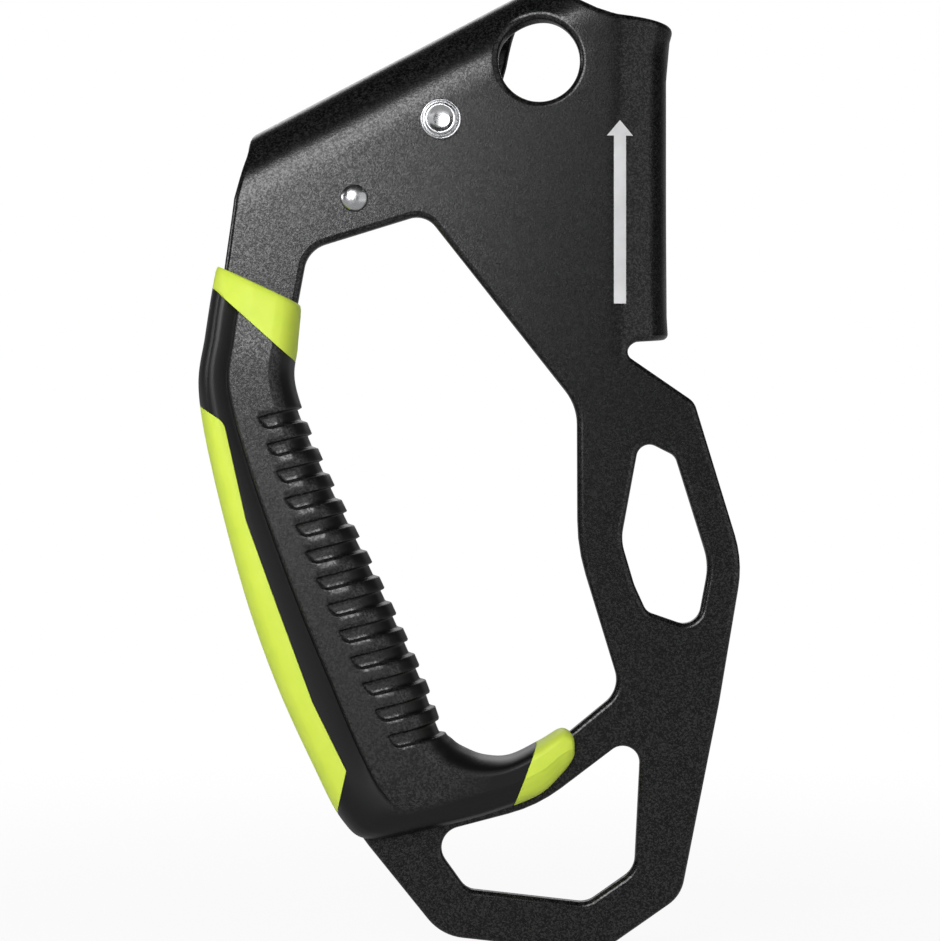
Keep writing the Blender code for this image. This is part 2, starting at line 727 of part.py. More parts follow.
def build_trigger(parent):
    lever = finish_mesh(plate_mesh([lever_outline()], *LEVER_Y, 0.3), "lever")
    for hole in (rod(PIN_R + GAP, (-5, 5), sides=20), rod(0.7, (-5, 5), TRIGGER_HOOK, 10)):
        lever = combine(lever, finish_mesh(hole, "hole"), "DIFFERENCE")
    add_object("trigger_lever", lever, "steel", parent)
    corners = [(-4.0, 4.2, 2.0), (3.6, 4.8, 2.0), (5.2, -3.4, 2.6), (-2.4, -5.4, 2.6)]
    outline = rounded([(TAB[0] + x, TAB[1] + z, radius) for x, z, radius in corners])
    tab = finish_mesh(plate_mesh([outline], LEVER_Y[0] - 0.8, TAB_TOP_Y, 0.7, 2), "tab")
    pocket = [offset(clockwise(lever_outline()), GAP)]
    y_range = (LEVER_Y[0] - GAP, LEVER_Y[1] + GAP)
    tab = combine(tab, finish_mesh(plate_mesh(pocket, *y_range, 0.0), "pocket"), "DIFFERENCE")
    add_object("trigger_tab", tab, "trigger_black", parent)


def build_trigger_pin(parent):
    low, high = WEB_Y[0], PIN_TOP_Y
    profile = [(0, low), (PIN_R, low), (PIN_R, high - 0.9), (2.6, high - 0.9), (2.6, high - 0.3)]
    profile += [(2.2, high), (0, high)]
    pin = turned(profile, 20, TRIGGER_PIN)
    add_object("trigger_pin", finish_mesh(pin, "trigger_pin"), "steel", parent)
    washer = tube_ring(3.2, PIN_R + GAP, (WEB_Y[1] + GAP, LEVER_Y[0] - GAP), 0.1)
    bmesh.ops.translate(washer, vec=(TRIGGER_PIN[0], 0, TRIGGER_PIN[1]), verts=washer.verts)
    add_object("trigger_washer", finish_mesh(washer, "trigger_washer"), "steel", parent)


# Springs
def tangent_angle(point, radius):
    """Angle at which a line from a point meets a circle and runs on round it anticlockwise."""
    x, z = point
    return math.degrees(math.atan2(z, x) + math.acos(radius / math.hypot(x, z)))


def torsion_points(hook, hook_y, radius, y_range, end_angle, curls, leg):
    """Centre line: hooked end, helix and a straight leg, as one run of points."""
    x, z = hook
    low, high = y_range
    start = tangent_angle(hook, radius)
    sweep = end_angle - start + 360.0 * curls
    count = round(sweep / 360.0 * POINTS_PER_CURL)
    inward = Vector((*polar(radius, start), 0)) - Vector((x, z, 0))
    points = [Vector((x, hook_y, z)), Vector((x, low - 0.5, z))]
    bend = inward.normalized() * 0.5
    points.append(Vector((x + bend.x, low, z + bend.y)))
    for step in range(count + 1):
        share = step / count
        px, pz = polar(radius, start + sweep * share)
        points.append(Vector((px, low + (high - low) * share, pz)))
    away = Vector(polar(1.0, end_angle + 90.0))
    out = Vector(polar(1.0, end_angle))
    length, rise = leg
    px, pz = polar(radius, end_angle)
    reach = away * length + out * rise
    points.append(Vector((px + reach.x, high, pz + reach.y)))
    return points


def least_gap(points, wire):
    """Smallest clear distance between points of the wire that are half a curl apart or more."""
    apart = POINTS_PER_CURL // 2
    gaps = [(a - b).length for i, a in enumerate(points) for b in points[i + apart:]]
    return min(gaps) - wire


def build_spring(name, points, wire, parent, centre):
    curve = bpy.data.curves.new(name, "CURVE")
    curve.dimensions = "3D"
    curve.bevel_depth = wire / 2 * MM
    curve.bevel_resolution = 1
    curve.use_fill_caps = True
    spline = curve.splines.new("POLY")
    spline.points.add(len(points) - 1)
    for slot, point in zip(spline.points, points):
        slot.co = ((point.x + centre[0]) * MM, point.y * MM, (point.z + centre[1]) * MM, 1.0)
    curve.materials.append(material("spring_steel"))
    made = bpy.data.objects.new(name, curve)
    bpy.context.collection.objects.link(made)
    made.parent = parent
    print(name, "least gap to itself", round(least_gap(points, wire), 2), "mm")


def build_springs(cam_parent):
    """The cam spring pushes on the spine's inner wall, the trigger spring on a peg of the cam."""
    rest = SPINE_ANGLE + 90.0
    points = torsion_points(CAM_HOOK, CAM_HOOK_Y, CAM_SPRING_R, CAM_SPRING_Y, rest, 2, CAM_SPRING_LEG)
    build_spring("cam_spring", points, CAM_SPRING_WIRE, None, AXLE)
    points = torsion_points(TRIGGER_HOOK, TRIGGER_HOOK_Y, TRIGGER_SPRING_R, TRIGGER_SPRING_Y,
                            270.0, 1, TRIGGER_SPRING_LEG)
    build_spring("trigger_spring", points, TRIGGER_SPRING_WIRE, cam_parent, TRIGGER_PIN)


def main():
    clear_scene()
    build_frame()
    build_grip()
    build_axle()
    build_stop_pin()
    cam_pivot = pivot("cam_pivot", *AXLE)
    trigger_pivot = pivot("trigger_pivot", *TRIGGER_PIN, cam_pivot)
    build_cam(cam_pivot)
    build_trigger_pin(cam_pivot)
    build_trigger(trigger_pivot)
    build_springs(cam_pivot)


main()
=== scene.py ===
# %% [markdown]
# # Dressing a handled rope ascender
# A climber slides this device up a rope: a toothed cam behind the folded plate bites the rope, and the
# moulded handle takes the hand. The solid pieces arrive ready made, in metres, with +Z up the rope and
# the bare side of the plate facing -Y. This lesson gives them light, finishes and the small details that
# a solid model leaves out.

# %% Load the solid pieces
import json
import math

import bmesh
import bpy
import numpy as np
from mathutils import Matrix, Vector


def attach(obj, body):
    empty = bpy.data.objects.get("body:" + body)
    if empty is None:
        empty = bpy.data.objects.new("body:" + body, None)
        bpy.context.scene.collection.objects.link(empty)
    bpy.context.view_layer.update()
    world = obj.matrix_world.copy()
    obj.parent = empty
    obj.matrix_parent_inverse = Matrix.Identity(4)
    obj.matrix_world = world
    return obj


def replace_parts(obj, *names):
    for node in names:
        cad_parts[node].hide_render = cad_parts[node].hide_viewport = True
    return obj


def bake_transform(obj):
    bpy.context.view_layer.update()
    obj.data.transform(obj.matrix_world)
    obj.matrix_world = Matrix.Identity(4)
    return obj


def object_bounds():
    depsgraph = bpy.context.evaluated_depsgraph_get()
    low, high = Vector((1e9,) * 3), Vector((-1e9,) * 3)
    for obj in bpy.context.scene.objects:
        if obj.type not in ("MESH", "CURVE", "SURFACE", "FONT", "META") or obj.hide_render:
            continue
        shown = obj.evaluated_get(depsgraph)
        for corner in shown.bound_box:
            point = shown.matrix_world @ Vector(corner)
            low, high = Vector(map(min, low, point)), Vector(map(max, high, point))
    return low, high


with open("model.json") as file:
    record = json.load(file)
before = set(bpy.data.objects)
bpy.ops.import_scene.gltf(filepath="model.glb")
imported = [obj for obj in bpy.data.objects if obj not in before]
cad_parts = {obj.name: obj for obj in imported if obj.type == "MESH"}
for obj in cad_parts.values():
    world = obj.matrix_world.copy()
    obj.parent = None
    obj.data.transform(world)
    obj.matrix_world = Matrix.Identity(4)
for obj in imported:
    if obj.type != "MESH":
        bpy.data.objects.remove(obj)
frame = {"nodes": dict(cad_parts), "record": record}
solid_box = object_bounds()
nodes = frame["nodes"]
MM = 0.001
print("pieces:", len(nodes), "box:", [tuple(round(v / MM, 1) for v in c) for c in solid_box])

# %% [markdown]
# ## Camera
# The picture was taken square to the plate with a long lens: the handle's bend and the deep edges of
# the plate hardly lean. A camera 650 mm from the plate's face gives the same small lean. Its picture is
# as wide as 200 mm on the plate, and that fixes the focal length.

# %% Camera
PLATE_FACE_Y = -11.25
PICTURE_W, PICTURE_H = 940, 941
MM_PER_PIXEL = 0.2125
AXLE_PIXEL = (612, 119)
CAMERA_DISTANCE = 650.0
SENSOR_WIDTH = 36.0
CLIP_START = 0.01


def on_plate(px, py):
    """X and Z in millimetres of a picture point that lies on the plate's face."""
    return (px - AXLE_PIXEL[0]) * MM_PER_PIXEL, (AXLE_PIXEL[1] - py) * MM_PER_PIXEL


def add_camera():
    """Camera square to the plate, aimed at the middle of the picture."""
    lens = bpy.data.cameras.new("camera")
    half = PICTURE_H * MM_PER_PIXEL / 2
    lens.sensor_width = SENSOR_WIDTH
    lens.lens = SENSOR_WIDTH / 2 * CAMERA_DISTANCE / half
    lens.clip_start = CLIP_START
    camera = bpy.data.objects.new("camera", lens)
    bpy.context.collection.objects.link(camera)
    x, z = on_plate(PICTURE_W / 2, PICTURE_H / 2)
    camera.location = (x * MM, (PLATE_FACE_Y - CAMERA_DISTANCE) * MM, z * MM)
    camera.rotation_euler = (math.radians(90), 0, 0)
    bpy.context.scene.camera = camera
    return camera


camera = add_camera()
print("lens", round(camera.data.lens, 1), "mm")

# %% [markdown]
# ## Light and ground
# A packshot has a white ground and soft light. Here one broad lamp from the upper left draws the pale
# sheen on the plate, and a wide dim one from the right runs round the channel and the finger side. Two
# small lamps light the edges from the left and from behind. The camera sees a white world and floor.
# Reflections see a room that is dim in front of the plate and paler behind it, and a dimmer floor, and
# all other light is a calm grey, so the white ground does not bleach the object.

# %% Helpers for nodes and meshes


def add_node(tree, kind, **values):
    """Add a shader node and set its properties, or its inputs by name."""
    made = tree.nodes.new(kind)
    for name, value in values.items():
        if hasattr(made, name):
            setattr(made, name, value)
        else:
            made.inputs[name.replace("_", " ")].default_value = value
    return made


def seen_directly(tree):
    """1 for rays from the camera or off a gloss or glass surface, else 0."""
    path = add_node(tree, "ShaderNodeLightPath")
    first = add_node(tree, "ShaderNodeMath", operation="MAXIMUM")
    second = add_node(tree, "ShaderNodeMath", operation="MAXIMUM")
    tree.links.new(path.outputs["Is Camera Ray"], first.inputs[0])
    tree.links.new(path.outputs["Is Glossy Ray"], first.inputs[1])
    tree.links.new(first.outputs[0], second.inputs[0])
    tree.links.new(path.outputs["Is Transmission Ray"], second.inputs[1])
    return second.outputs[0]


def to_mesh(bm, name):
    """Mesh of a bmesh, which is used up."""
    mesh = bpy.data.meshes.new(name)
    bm.to_mesh(mesh)
    bm.free()
    return mesh


print("helpers for nodes and meshes ready")

# %% World
WHITE = (1, 1, 1, 1)
WORLD_FILL = 0.12
ROOM_DIM = 0.03
ROOM_BRIGHT = 0.27
ROOM_START, ROOM_END = 0.45, 1.0


def room_behind(tree):
    """Pale towards the backdrop behind the plate, dim towards the dark room in front of it."""
    place = add_node(tree, "ShaderNodeTexCoord")
    parts = add_node(tree, "ShaderNodeSeparateXYZ")
    ramp = add_node(tree, "ShaderNodeMapRange", interpolation_type="SMOOTHSTEP", From_Min=ROOM_START,
                    From_Max=ROOM_END, To_Min=ROOM_DIM, To_Max=ROOM_BRIGHT)
    tree.links.new(place.outputs["Generated"], parts.inputs[0])
    tree.links.new(parts.outputs["Y"], ramp.inputs["Value"])
    return ramp.outputs["Result"]


def add_world():
    """White for the camera, a room for reflections and a calm grey for all other light."""
    world = bpy.data.worlds.new("studio")
    world.use_nodes = True
    tree = world.node_tree
    tree.nodes.clear()
    path = add_node(tree, "ShaderNodeLightPath")
    white = add_node(tree, "ShaderNodeBackground", Color=WHITE, Strength=1.0)
    room = add_node(tree, "ShaderNodeBackground", Color=WHITE)
    fill = add_node(tree, "ShaderNodeBackground", Color=WHITE, Strength=WORLD_FILL)
    gloss = add_node(tree, "ShaderNodeMixShader")
    seen = add_node(tree, "ShaderNodeMixShader")
    out = add_node(tree, "ShaderNodeOutputWorld")
    tree.links.new(room_behind(tree), room.inputs["Strength"])
    tree.links.new(seen_directly(tree), gloss.inputs[0])
    tree.links.new(fill.outputs[0], gloss.inputs[1])
    tree.links.new(room.outputs[0], gloss.inputs[2])
    tree.links.new(path.outputs["Is Camera Ray"], seen.inputs[0])
    tree.links.new(gloss.outputs[0], seen.inputs[1])
    tree.links.new(white.outputs[0], seen.inputs[2])
    tree.links.new(seen.outputs[0], out.inputs["Surface"])
    bpy.context.scene.world = world


add_world()
bpy.context.scene.view_settings.view_transform = "Standard"
print("world fill", WORLD_FILL)

# %% Lamps
LAMPS = [
    # name, place, size, watts
    ("key", (-230, -635, 160), 350, 2.8),
    ("left", (-560, -60, 60), 160, 0.42),
    ("right", (480, -400, -60), 900, 1.6),
    ("back", (-100, 560, 200), 400, 0.72),
]
MIDDLE = (-30, 0, -75)


def add_lamp(name, place, size, watts):
    """Square area lamp at a place in millimetres, turned to the middle of the part."""
    light = bpy.data.lights.new(name, "AREA")
    light.size = size * MM
    light.energy = watts
    lamp = bpy.data.objects.new(name, light)
    bpy.context.collection.objects.link(lamp)
    lamp.location = Vector(place) * MM
    lamp.rotation_euler = (Vector(MIDDLE) - Vector(place)).to_track_quat("-Z", "Y").to_euler()
    lamp.visible_camera = False


for row in LAMPS:
    add_lamp(*row)
print("lamps:", ", ".join(row[0] for row in LAMPS))

# %% Floor
ROUND_SIDES = 64
FLOOR_RADIUS = 3.0
FLOOR_GAP = 0.5
FLOOR_PAPER = (0.85, 0.85, 0.85, 1)
FLOOR_GLOSS = 0.4
GLOW_NEAR, GLOW_FAR = 0.05, 0.45
GLOW_LEAST, GLOW_MOST = 0.92, 1.0


def add_floor():
    """Round floor just under the part: white to the camera, paper to all other light."""
    bm = bmesh.new()
    bmesh.ops.create_circle(bm, cap_ends=True, segments=ROUND_SIDES, radius=FLOOR_RADIUS)
    mesh = to_mesh(bm, "floor")
    floor = bpy.data.objects.new("floor", mesh)
    floor.location = (MIDDLE[0] * MM, 0, solid_box[0].z - FLOOR_GAP * MM)
    bpy.context.collection.objects.link(floor)
    look = bpy.data.materials.new("floor_white")
    look.use_nodes = True
    tree = look.node_tree
    tree.nodes.clear()
    paper = add_node(tree, "ShaderNodeBsdfDiffuse", Color=FLOOR_PAPER)
    glow = add_node(tree, "ShaderNodeEmission", Color=WHITE)
    path = add_node(tree, "ShaderNodeLightPath")
    bright = add_node(tree, "ShaderNodeMath", operation="MULTIPLY_ADD")
    bright.inputs[1].default_value = FLOOR_GLOSS - 1.0
    bright.inputs[2].default_value = 1.0
    tree.links.new(path.outputs["Is Glossy Ray"], bright.inputs[0])
    tree.links.new(bright.outputs[0], glow.inputs["Strength"])
    place = add_node(tree, "ShaderNodeTexCoord")
    away = add_node(tree, "ShaderNodeVectorMath", operation="LENGTH")
    fade = add_node(tree, "ShaderNodeMapRange", interpolation_type="SMOOTHSTEP", From_Min=GLOW_NEAR,
                    From_Max=GLOW_FAR, To_Min=GLOW_LEAST, To_Max=GLOW_MOST)
    tree.links.new(place.outputs["Object"], away.inputs[0])
    tree.links.new(away.outputs["Value"], fade.inputs["Value"])
    share = add_node(tree, "ShaderNodeMath", operation="MULTIPLY")
    tree.links.new(fade.outputs["Result"], share.inputs[1])
    mix = add_node(tree, "ShaderNodeMixShader")
    out = add_node(tree, "ShaderNodeOutputMaterial")
    tree.links.new(seen_directly(tree), share.inputs[0])
    tree.links.new(share.outputs[0], mix.inputs[0])
    tree.links.new(paper.outputs[0], mix.inputs[1])
    tree.links.new(glow.outputs[0], mix.inputs[2])
    tree.links.new(mix.outputs[0], out.inputs["Surface"])
    mesh.materials.append(look)
    return floor


floor = add_floor()
print("floor at", round(floor.location.z / MM, 1), "mm")

# %% [markdown]
# ## Finishes
# Each finish is one Principled shader with its grain made by noise. The grain is in object space, so it
# keeps its real size in millimetres on every piece.

# %% Finish helpers
SPOTS_LOW, SPOTS_HIGH = 0.3, 0.7


def finish(name, colour, rough, metal=0.0, **sockets):
    """Material with a Principled shader; returns the material, its tree and the shader."""
    look = bpy.data.materials.new(name)
    look.use_nodes = True
    shader = look.node_tree.nodes["Principled BSDF"]
    shader.inputs["Base Color"].default_value = (*colour, 1)
    shader.inputs["Roughness"].default_value = rough
    shader.inputs["Metallic"].default_value = metal
    for socket, value in sockets.items():
        shader.inputs[socket.replace("_", " ")].default_value = value
    return look, look.node_tree, shader


def grain(tree, size_mm, detail=2.0):
    """Noise whose spots are about size_mm across."""
    place = add_node(tree, "ShaderNodeTexCoord")
    noise = add_node(tree, "ShaderNodeTexNoise", Scale=1.0 / (size_mm * MM), Detail=detail)
    tree.links.new(place.outputs["Object"], noise.inputs["Vector"])
    return noise.outputs["Fac"]


def flecks(tree, size_mm):
    """A random value from 0 to 1 for each fleck, about size_mm across."""
    place = add_node(tree, "ShaderNodeTexCoord")
    cells = add_node(tree, "ShaderNodeTexVoronoi", Scale=1.0 / (size_mm * MM))
    parts = add_node(tree, "ShaderNodeSeparateColor")
    tree.links.new(place.outputs["Object"], cells.inputs["Vector"])
    tree.links.new(cells.outputs["Color"], parts.inputs[0])
    return parts.outputs[0]


def spread(tree, value, low, high, out_low, out_high):
    """Map a value from one range to another and keep it inside."""
    ramp = add_node(tree, "ShaderNodeMapRange", From_Min=low, From_Max=high,
                    To_Min=out_low, To_Max=out_high)
    tree.links.new(value, ramp.inputs["Value"])
    return ramp.outputs["Result"]


def tint(tree, shader, value, dark, light):
    """Colour between two shades by a value from 0 to 1."""
    mix = add_node(tree, "ShaderNodeMix", data_type="RGBA")
    mix.inputs["A"].default_value = (*dark, 1)
    mix.inputs["B"].default_value = (*light, 1)
    tree.links.new(value, mix.inputs["Factor"])
    tree.links.new(mix.outputs["Result"], shader.inputs["Base Color"])


def bumps(tree, shader, value, height_mm, strength):
    """Small bumps in the surface that follow a value."""
    bump = add_node(tree, "ShaderNodeBump", Strength=strength, Distance=height_mm * MM)
    tree.links.new(value, bump.inputs["Height"])
    tree.links.new(bump.outputs["Normal"], shader.inputs["Normal"])


print("finish helpers ready")

# %% Coating of the plate
FLECK_DARK, FLECK_LIGHT = (0.0013, 0.0013, 0.0014), (0.0235, 0.0235, 0.024)
FLECK_MM, COAT_GRAIN_MM = 0.27, 0.32
GRAIN_HEIGHT, GRAIN_STRENGTH = 0.03, 0.7


def plate_coat():
    """Matte black coating with a fine sparkling grain."""
    look, tree, shader = finish("plate_coat", (0.015, 0.015, 0.0153), 0.3)
    specks = flecks(tree, FLECK_MM)
    tint(tree, shader, spread(tree, specks, 0.4, 0.9, 0, 1), FLECK_DARK, FLECK_LIGHT)
    tree.links.new(spread(tree, specks, 0.1, 0.9, 0.29, 0.18), shader.inputs["Roughness"])
    tree.links.new(spread(tree, specks, 0.1, 0.9, 0.32, 0.59), shader.inputs["Specular IOR Level"])
    bumps(tree, shader, grain(tree, COAT_GRAIN_MM), GRAIN_HEIGHT, GRAIN_STRENGTH)
    return look


looks = {"frame_black": plate_coat()}
print("plate:", looks["frame_black"].name)

# %% Rubber of the grip
GRIP_MIDDLE_Y = -9.25
PANEL_DEPTHS = (9.2, 10.2)
PANEL_DARK, PANEL_LIGHT = (0.0034, 0.0034, 0.0035), (0.03, 0.03, 0.0304)
PANEL_FLECK_MM, PANEL_GRAIN_MM = 0.32, 0.35
LIME_DARK, LIME_LIGHT = (0.74, 0.93, 0.08), (0.8, 0.97, 0.1)


def by_depth(tree, low, high):
    """0 to 1 as a place gets farther from the grip's middle plane, on either side."""
    place = add_node(tree, "ShaderNodeTexCoord")
    parts = add_node(tree, "ShaderNodeSeparateXYZ")
    middle = add_node(tree, "ShaderNodeMath", operation="SUBTRACT")
    middle.inputs[1].default_value = GRIP_MIDDLE_Y * MM
    away = add_node(tree, "ShaderNodeMath", operation="ABSOLUTE")
    tree.links.new(place.outputs["Object"], parts.inputs[0])
    tree.links.new(parts.outputs["Y"], middle.inputs[0])
    tree.links.new(middle.outputs[0], away.inputs[0])
    return spread(tree, away.outputs[0], low * MM, high * MM, 0, 1)


def times(tree, first, second):
    """Product of two values."""
    product = add_node(tree, "ShaderNodeMath", operation="MULTIPLY")
    tree.links.new(first, product.inputs[0])
    tree.links.new(second, product.inputs[1])
    return product.outputs[0]


def grip_rubber():
    """Black moulded grip: a grained panel on each side, and smooth flanks."""
    look, tree, shader = finish("grip_rubber", (0.017, 0.017, 0.017), 0.32)
    panel = by_depth(tree, *PANEL_DEPTHS)
    specks = times(tree, spread(tree, flecks(tree, PANEL_FLECK_MM), 0.2, 0.9, 0, 1), panel)
    tint(tree, shader, specks, PANEL_DARK, PANEL_LIGHT)
    tree.links.new(spread(tree, specks, 0, 1, 0.42, 0.27), shader.inputs["Roughness"])
    tree.links.new(spread(tree, specks, 0, 1, 0.44, 0.67), shader.inputs["Specular IOR Level"])
    roughened = times(tree, grain(tree, PANEL_GRAIN_MM), panel)
    bumps(tree, shader, roughened, GRAIN_HEIGHT, GRAIN_STRENGTH)
    return look


def lime_rubber():
    """Smooth matte lime with a faint, slow unevenness."""
    look, tree, shader = finish("lime_rubber", (0.77, 0.95, 0.09), 0.5, Specular_IOR_Level=0.4)
    slow = grain(tree, 6.0, 3.0)
    tint(tree, shader, spread(tree, slow, SPOTS_LOW, SPOTS_HIGH, 0, 1), LIME_DARK, LIME_LIGHT)
    bumps(tree, shader, grain(tree, 0.25), 0.01, 0.3)
    return look


looks["grip_black"] = grip_rubber()
looks["lime"] = lime_rubber()
print("grip:", looks["grip_black"].name, looks["lime"].name)

# %% Metals and the trigger
ROUGH_LESS, ROUGH_MORE = 0.06, 0.08
DULL_SHARE = 0.9
TRIGGER_DARK, TRIGGER_LIGHT = (0.015, 0.015, 0.015), (0.03, 0.03, 0.031)


def metal_finish(name, colour, rough, spot_mm):
    """Metal whose gloss and shade vary a little in soft spots."""
    look, tree, shader = finish(name, colour, rough, 1.0)
    spots = grain(tree, spot_mm, 3.0)
    gloss = spread(tree, spots, SPOTS_LOW, SPOTS_HIGH, rough - ROUGH_LESS, rough + ROUGH_MORE)
    tree.links.new(gloss, shader.inputs["Roughness"])
    dull = tuple(DULL_SHARE * channel for channel in colour)
    tint(tree, shader, spread(tree, spots, SPOTS_LOW, SPOTS_HIGH, 0, 1), dull, colour)
    return look


def moulded_black():
    """Black moulded plastic with a fine grain."""
    look, tree, shader = finish("moulded_black", (0.02, 0.02, 0.02), 0.5)
    fine = grain(tree, 0.3)
    tint(tree, shader, spread(tree, fine, SPOTS_LOW, SPOTS_HIGH, 0, 1), TRIGGER_DARK, TRIGGER_LIGHT)
    bumps(tree, shader, fine, 0.02, 0.4)
    return look


looks["steel"] = metal_finish("cam_steel", (0.7, 0.71, 0.72), 0.32, 1.5)
looks["polished_steel"] = metal_finish("rivet_steel", (0.67, 0.675, 0.69), 0.24, 1.0)
looks["spring_steel"] = metal_finish("spring_wire", (0.6, 0.6, 0.61), 0.3, 0.6)
looks["bronze"] = metal_finish("bush_bronze", (0.6, 0.42, 0.2), 0.35, 0.8)
looks["trigger_black"] = moulded_black()
print("finishes:", ", ".join(looks))

# %% [markdown]
# ## Dress the solid pieces
# The solids come as separate triangles. A Weld modifier joins them, an Edge Split keeps edges that turn
# sharply, and Weighted Normal lets wide flat faces stay flat while their rounded rims shade smoothly.

# %% Dress the solid pieces
SHARP_DEGREES = 34
WELD_GAP = 1e-6
FLAT_WEIGHT = 60


def dress(item, look):
    """Give a solid its finish and smooth shading with crisp edges."""
    item.data.materials.clear()
    item.data.materials.append(look)
    item.data.shade_smooth()
    weld = item.modifiers.new("weld", "WELD")
    weld.merge_threshold = WELD_GAP
    split = item.modifiers.new("split", "EDGE_SPLIT")
    split.split_angle = math.radians(SHARP_DEGREES)
    normals = item.modifiers.new("normals", "WEIGHTED_NORMAL")
    normals.weight = FLAT_WEIGHT


for row in frame["record"]["subparts"]:
    dress(nodes[row["node"]], looks[row["material_slot"]])
print("dressed", len(nodes), "solids")

# %% [markdown]
# ## Plate
# The frame is one 4 mm aluminium plate: punched flat, tumbled until its edges are round, folded twice
# and coated. The solid folds in ten facets. For the picture the same blank is folded in fine steps, and
# each fold starts gently, as a press leaves it, so that the sheen runs softly into the bend.

# %% Helpers for new pieces
CRISP_DEGREES = 55


def link_mesh(name, mesh, look):
    """Object of a mesh in the row frame, with one finish."""
    mesh.materials.clear()
    mesh.materials.append(look)
    made = bpy.data.objects.new(name, mesh)
    bpy.context.collection.objects.link(made)
    return made


def mould(name, mesh, slot):
    """Piece of the frame's body with the finish of a slot, smooth up to its crisp edges."""
    mesh.shade_smooth()
    mesh.set_sharp_from_angle(angle=math.radians(CRISP_DEGREES))
    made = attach(link_mesh(name, mesh, looks[slot]), "frame_body")
    return made


def carve(mesh, tool, operation):
    """Boolean of two closed meshes; the first is used up."""
    pair = [bpy.data.objects.new(name, data) for name, data in (("carved", mesh), ("tool", tool))]
    for item in pair:
        bpy.context.collection.objects.link(item)
    step = pair[0].modifiers.new("carve", "BOOLEAN")
    step.operation = operation
    step.solver = "MANIFOLD"
    step.object = pair[1]
    graph = bpy.context.evaluated_depsgraph_get()
    result = bpy.data.meshes.new_from_object(pair[0].evaluated_get(graph))
    for item in pair:
        bpy.data.objects.remove(item, do_unlink=True)
    return result


print("helpers for new pieces ready")

# %% Outlines
ARC_STEP_DEGREES = 6.0
LEAST_TURN = 0.01
LEAST_SHARE = 0.5


def rounded(corners):
    """Outline through (x, z, radius) corners, each replaced by an arc of its radius."""
    points = []
    count = len(corners)
    for index, (x, z, radius) in enumerate(corners):
        here = Vector((x, z))
        into = (here - Vector(corners[index - 1][:2])).normalized()
        away = (Vector(corners[(index + 1) % count][:2]) - here).normalized()
        turn = into.angle_signed(away)
        if radius == 0 or abs(turn) < LEAST_TURN:
            points.append(here)
            continue
        start = here - into * radius * math.tan(abs(turn) / 2)
        centre = start + Vector((-into.y, into.x)) * radius * (-1 if turn > 0 else 1)
        steps = max(1, math.ceil(math.degrees(abs(turn)) / ARC_STEP_DEGREES))
        for step in range(steps + 1):
            points.append(centre + Matrix.Rotation(-turn * step / steps, 2) @ (start - centre))
    return points


def clockwise(points):
    """The same outline, run clockwise."""
    area = sum(a.x * b.y - b.x * a.y for a, b in zip(points, points[1:] + points[:1]))
    return points if area < 0 else points[::-1]


def grown(points, distance):
    """Clockwise outline moved outwards by a distance."""
    moved = []
    count = len(points)
    for index, here in enumerate(points):
        into = (here - points[index - 1]).normalized()
        away = (points[(index + 1) % count] - here).normalized()
        normal = Vector((-into.y - away.y, into.x + away.x)).normalized()
        share = max(LEAST_SHARE, normal.dot(Vector((-into.y, into.x))))
        moved.append(here + normal * distance / share)
    return moved


print("outline helpers ready")

# %% Plate blank
PLATE_BACK_Y = -7.25
NEUTRAL_R = 8.69
BEND_LENGTH = math.pi * NEUTRAL_R
EDGE_ROUND, EDGE_STEPS = 1.35, 6
CHANNEL_X, CHANNEL_TOP_Z, CHANNEL_LOW_Z = 0.95, 22.6, -47.7
LIP_EDGE = CHANNEL_X + BEND_LENGTH + 4.2
SPINE_START = Vector((-71.6, -12.3))
SPINE_ANGLE = math.radians(27.78)
SPINE_ALONG = Vector((math.cos(SPINE_ANGLE), math.sin(SPINE_ANGLE)))
SPINE_BEYOND = Vector((-SPINE_ALONG.y, SPINE_ALONG.x))


def spine_corner(along, beyond, radius):
    """Corner of the blank, measured along the spine fold and out past its start."""
    place = SPINE_START + SPINE_ALONG * along + SPINE_BEYOND * beyond
    return (place.x, place.y, radius)


PLATE_CORNERS = [
    (CHANNEL_X, CHANNEL_TOP_Z, 0), (CHANNEL_X + 15.0, 20.2, 10.0), (LIP_EDGE, 14.0, 5.0),
    (LIP_EDGE, -40.0, 5.0), (LIP_EDGE - 10.0, -44.6, 10.0), (CHANNEL_X + 13.6, -46.5, 20.0),
    (-0.6, CHANNEL_LOW_Z, 1.98), (17.6, -60.1, 4.0), (27.95, -94.0, 25.0), (22.85, -124.3, 60.0),
    (14.75, -165.25, 8.0), (-2.7, -177.45, 9.0), (-36.3, -173.7, 11.0), (-53.1, -152.9, 20.0),
    (-61.4, -136.8, 40.0), (-80.5, -84.1, 60.0), (-85.0, -56.5, 40.0), (-82.4, -31.0, 60.0),
    spine_corner(-9.9, 0.0, 0), spine_corner(-2.9, 7.0, 8.0), spine_corner(-0.2, 14.0, 12.0),
    spine_corner(8.5, BEND_LENGTH, 8.0), spine_corner(40.2, BEND_LENGTH + 16.5, 9.1),
    spine_corner(55.9, BEND_LENGTH, 12.0), (-3.1, 23.8, 0),
]
HAND_OPENING = [
    (-39.7, -20.0, 5.0), (-7.4, -60.9, 11.6), (-7.3, -91.2, 40.0), (1.9, -121.3, 6.1),
    (-14.0, -134.4, 8.0), (-23.8, -138.2, 12.0), (-36.0, -134.6, 10.0), (-68.0, -64.0, 30.0),
    (-69.7, -54.4, 30.0), (-64.7, -27.7, 6.4),
]
LOWER_HOLE = [
    (6.3, -129.4, 3.6), (4.8, -159.5, 5.0), (-5.3, -166.6, 5.0), (-31.0, -163.7, 4.0),
    (-39.2, -152.3, 4.5), (-15.8, -146.15, 32.0),
]
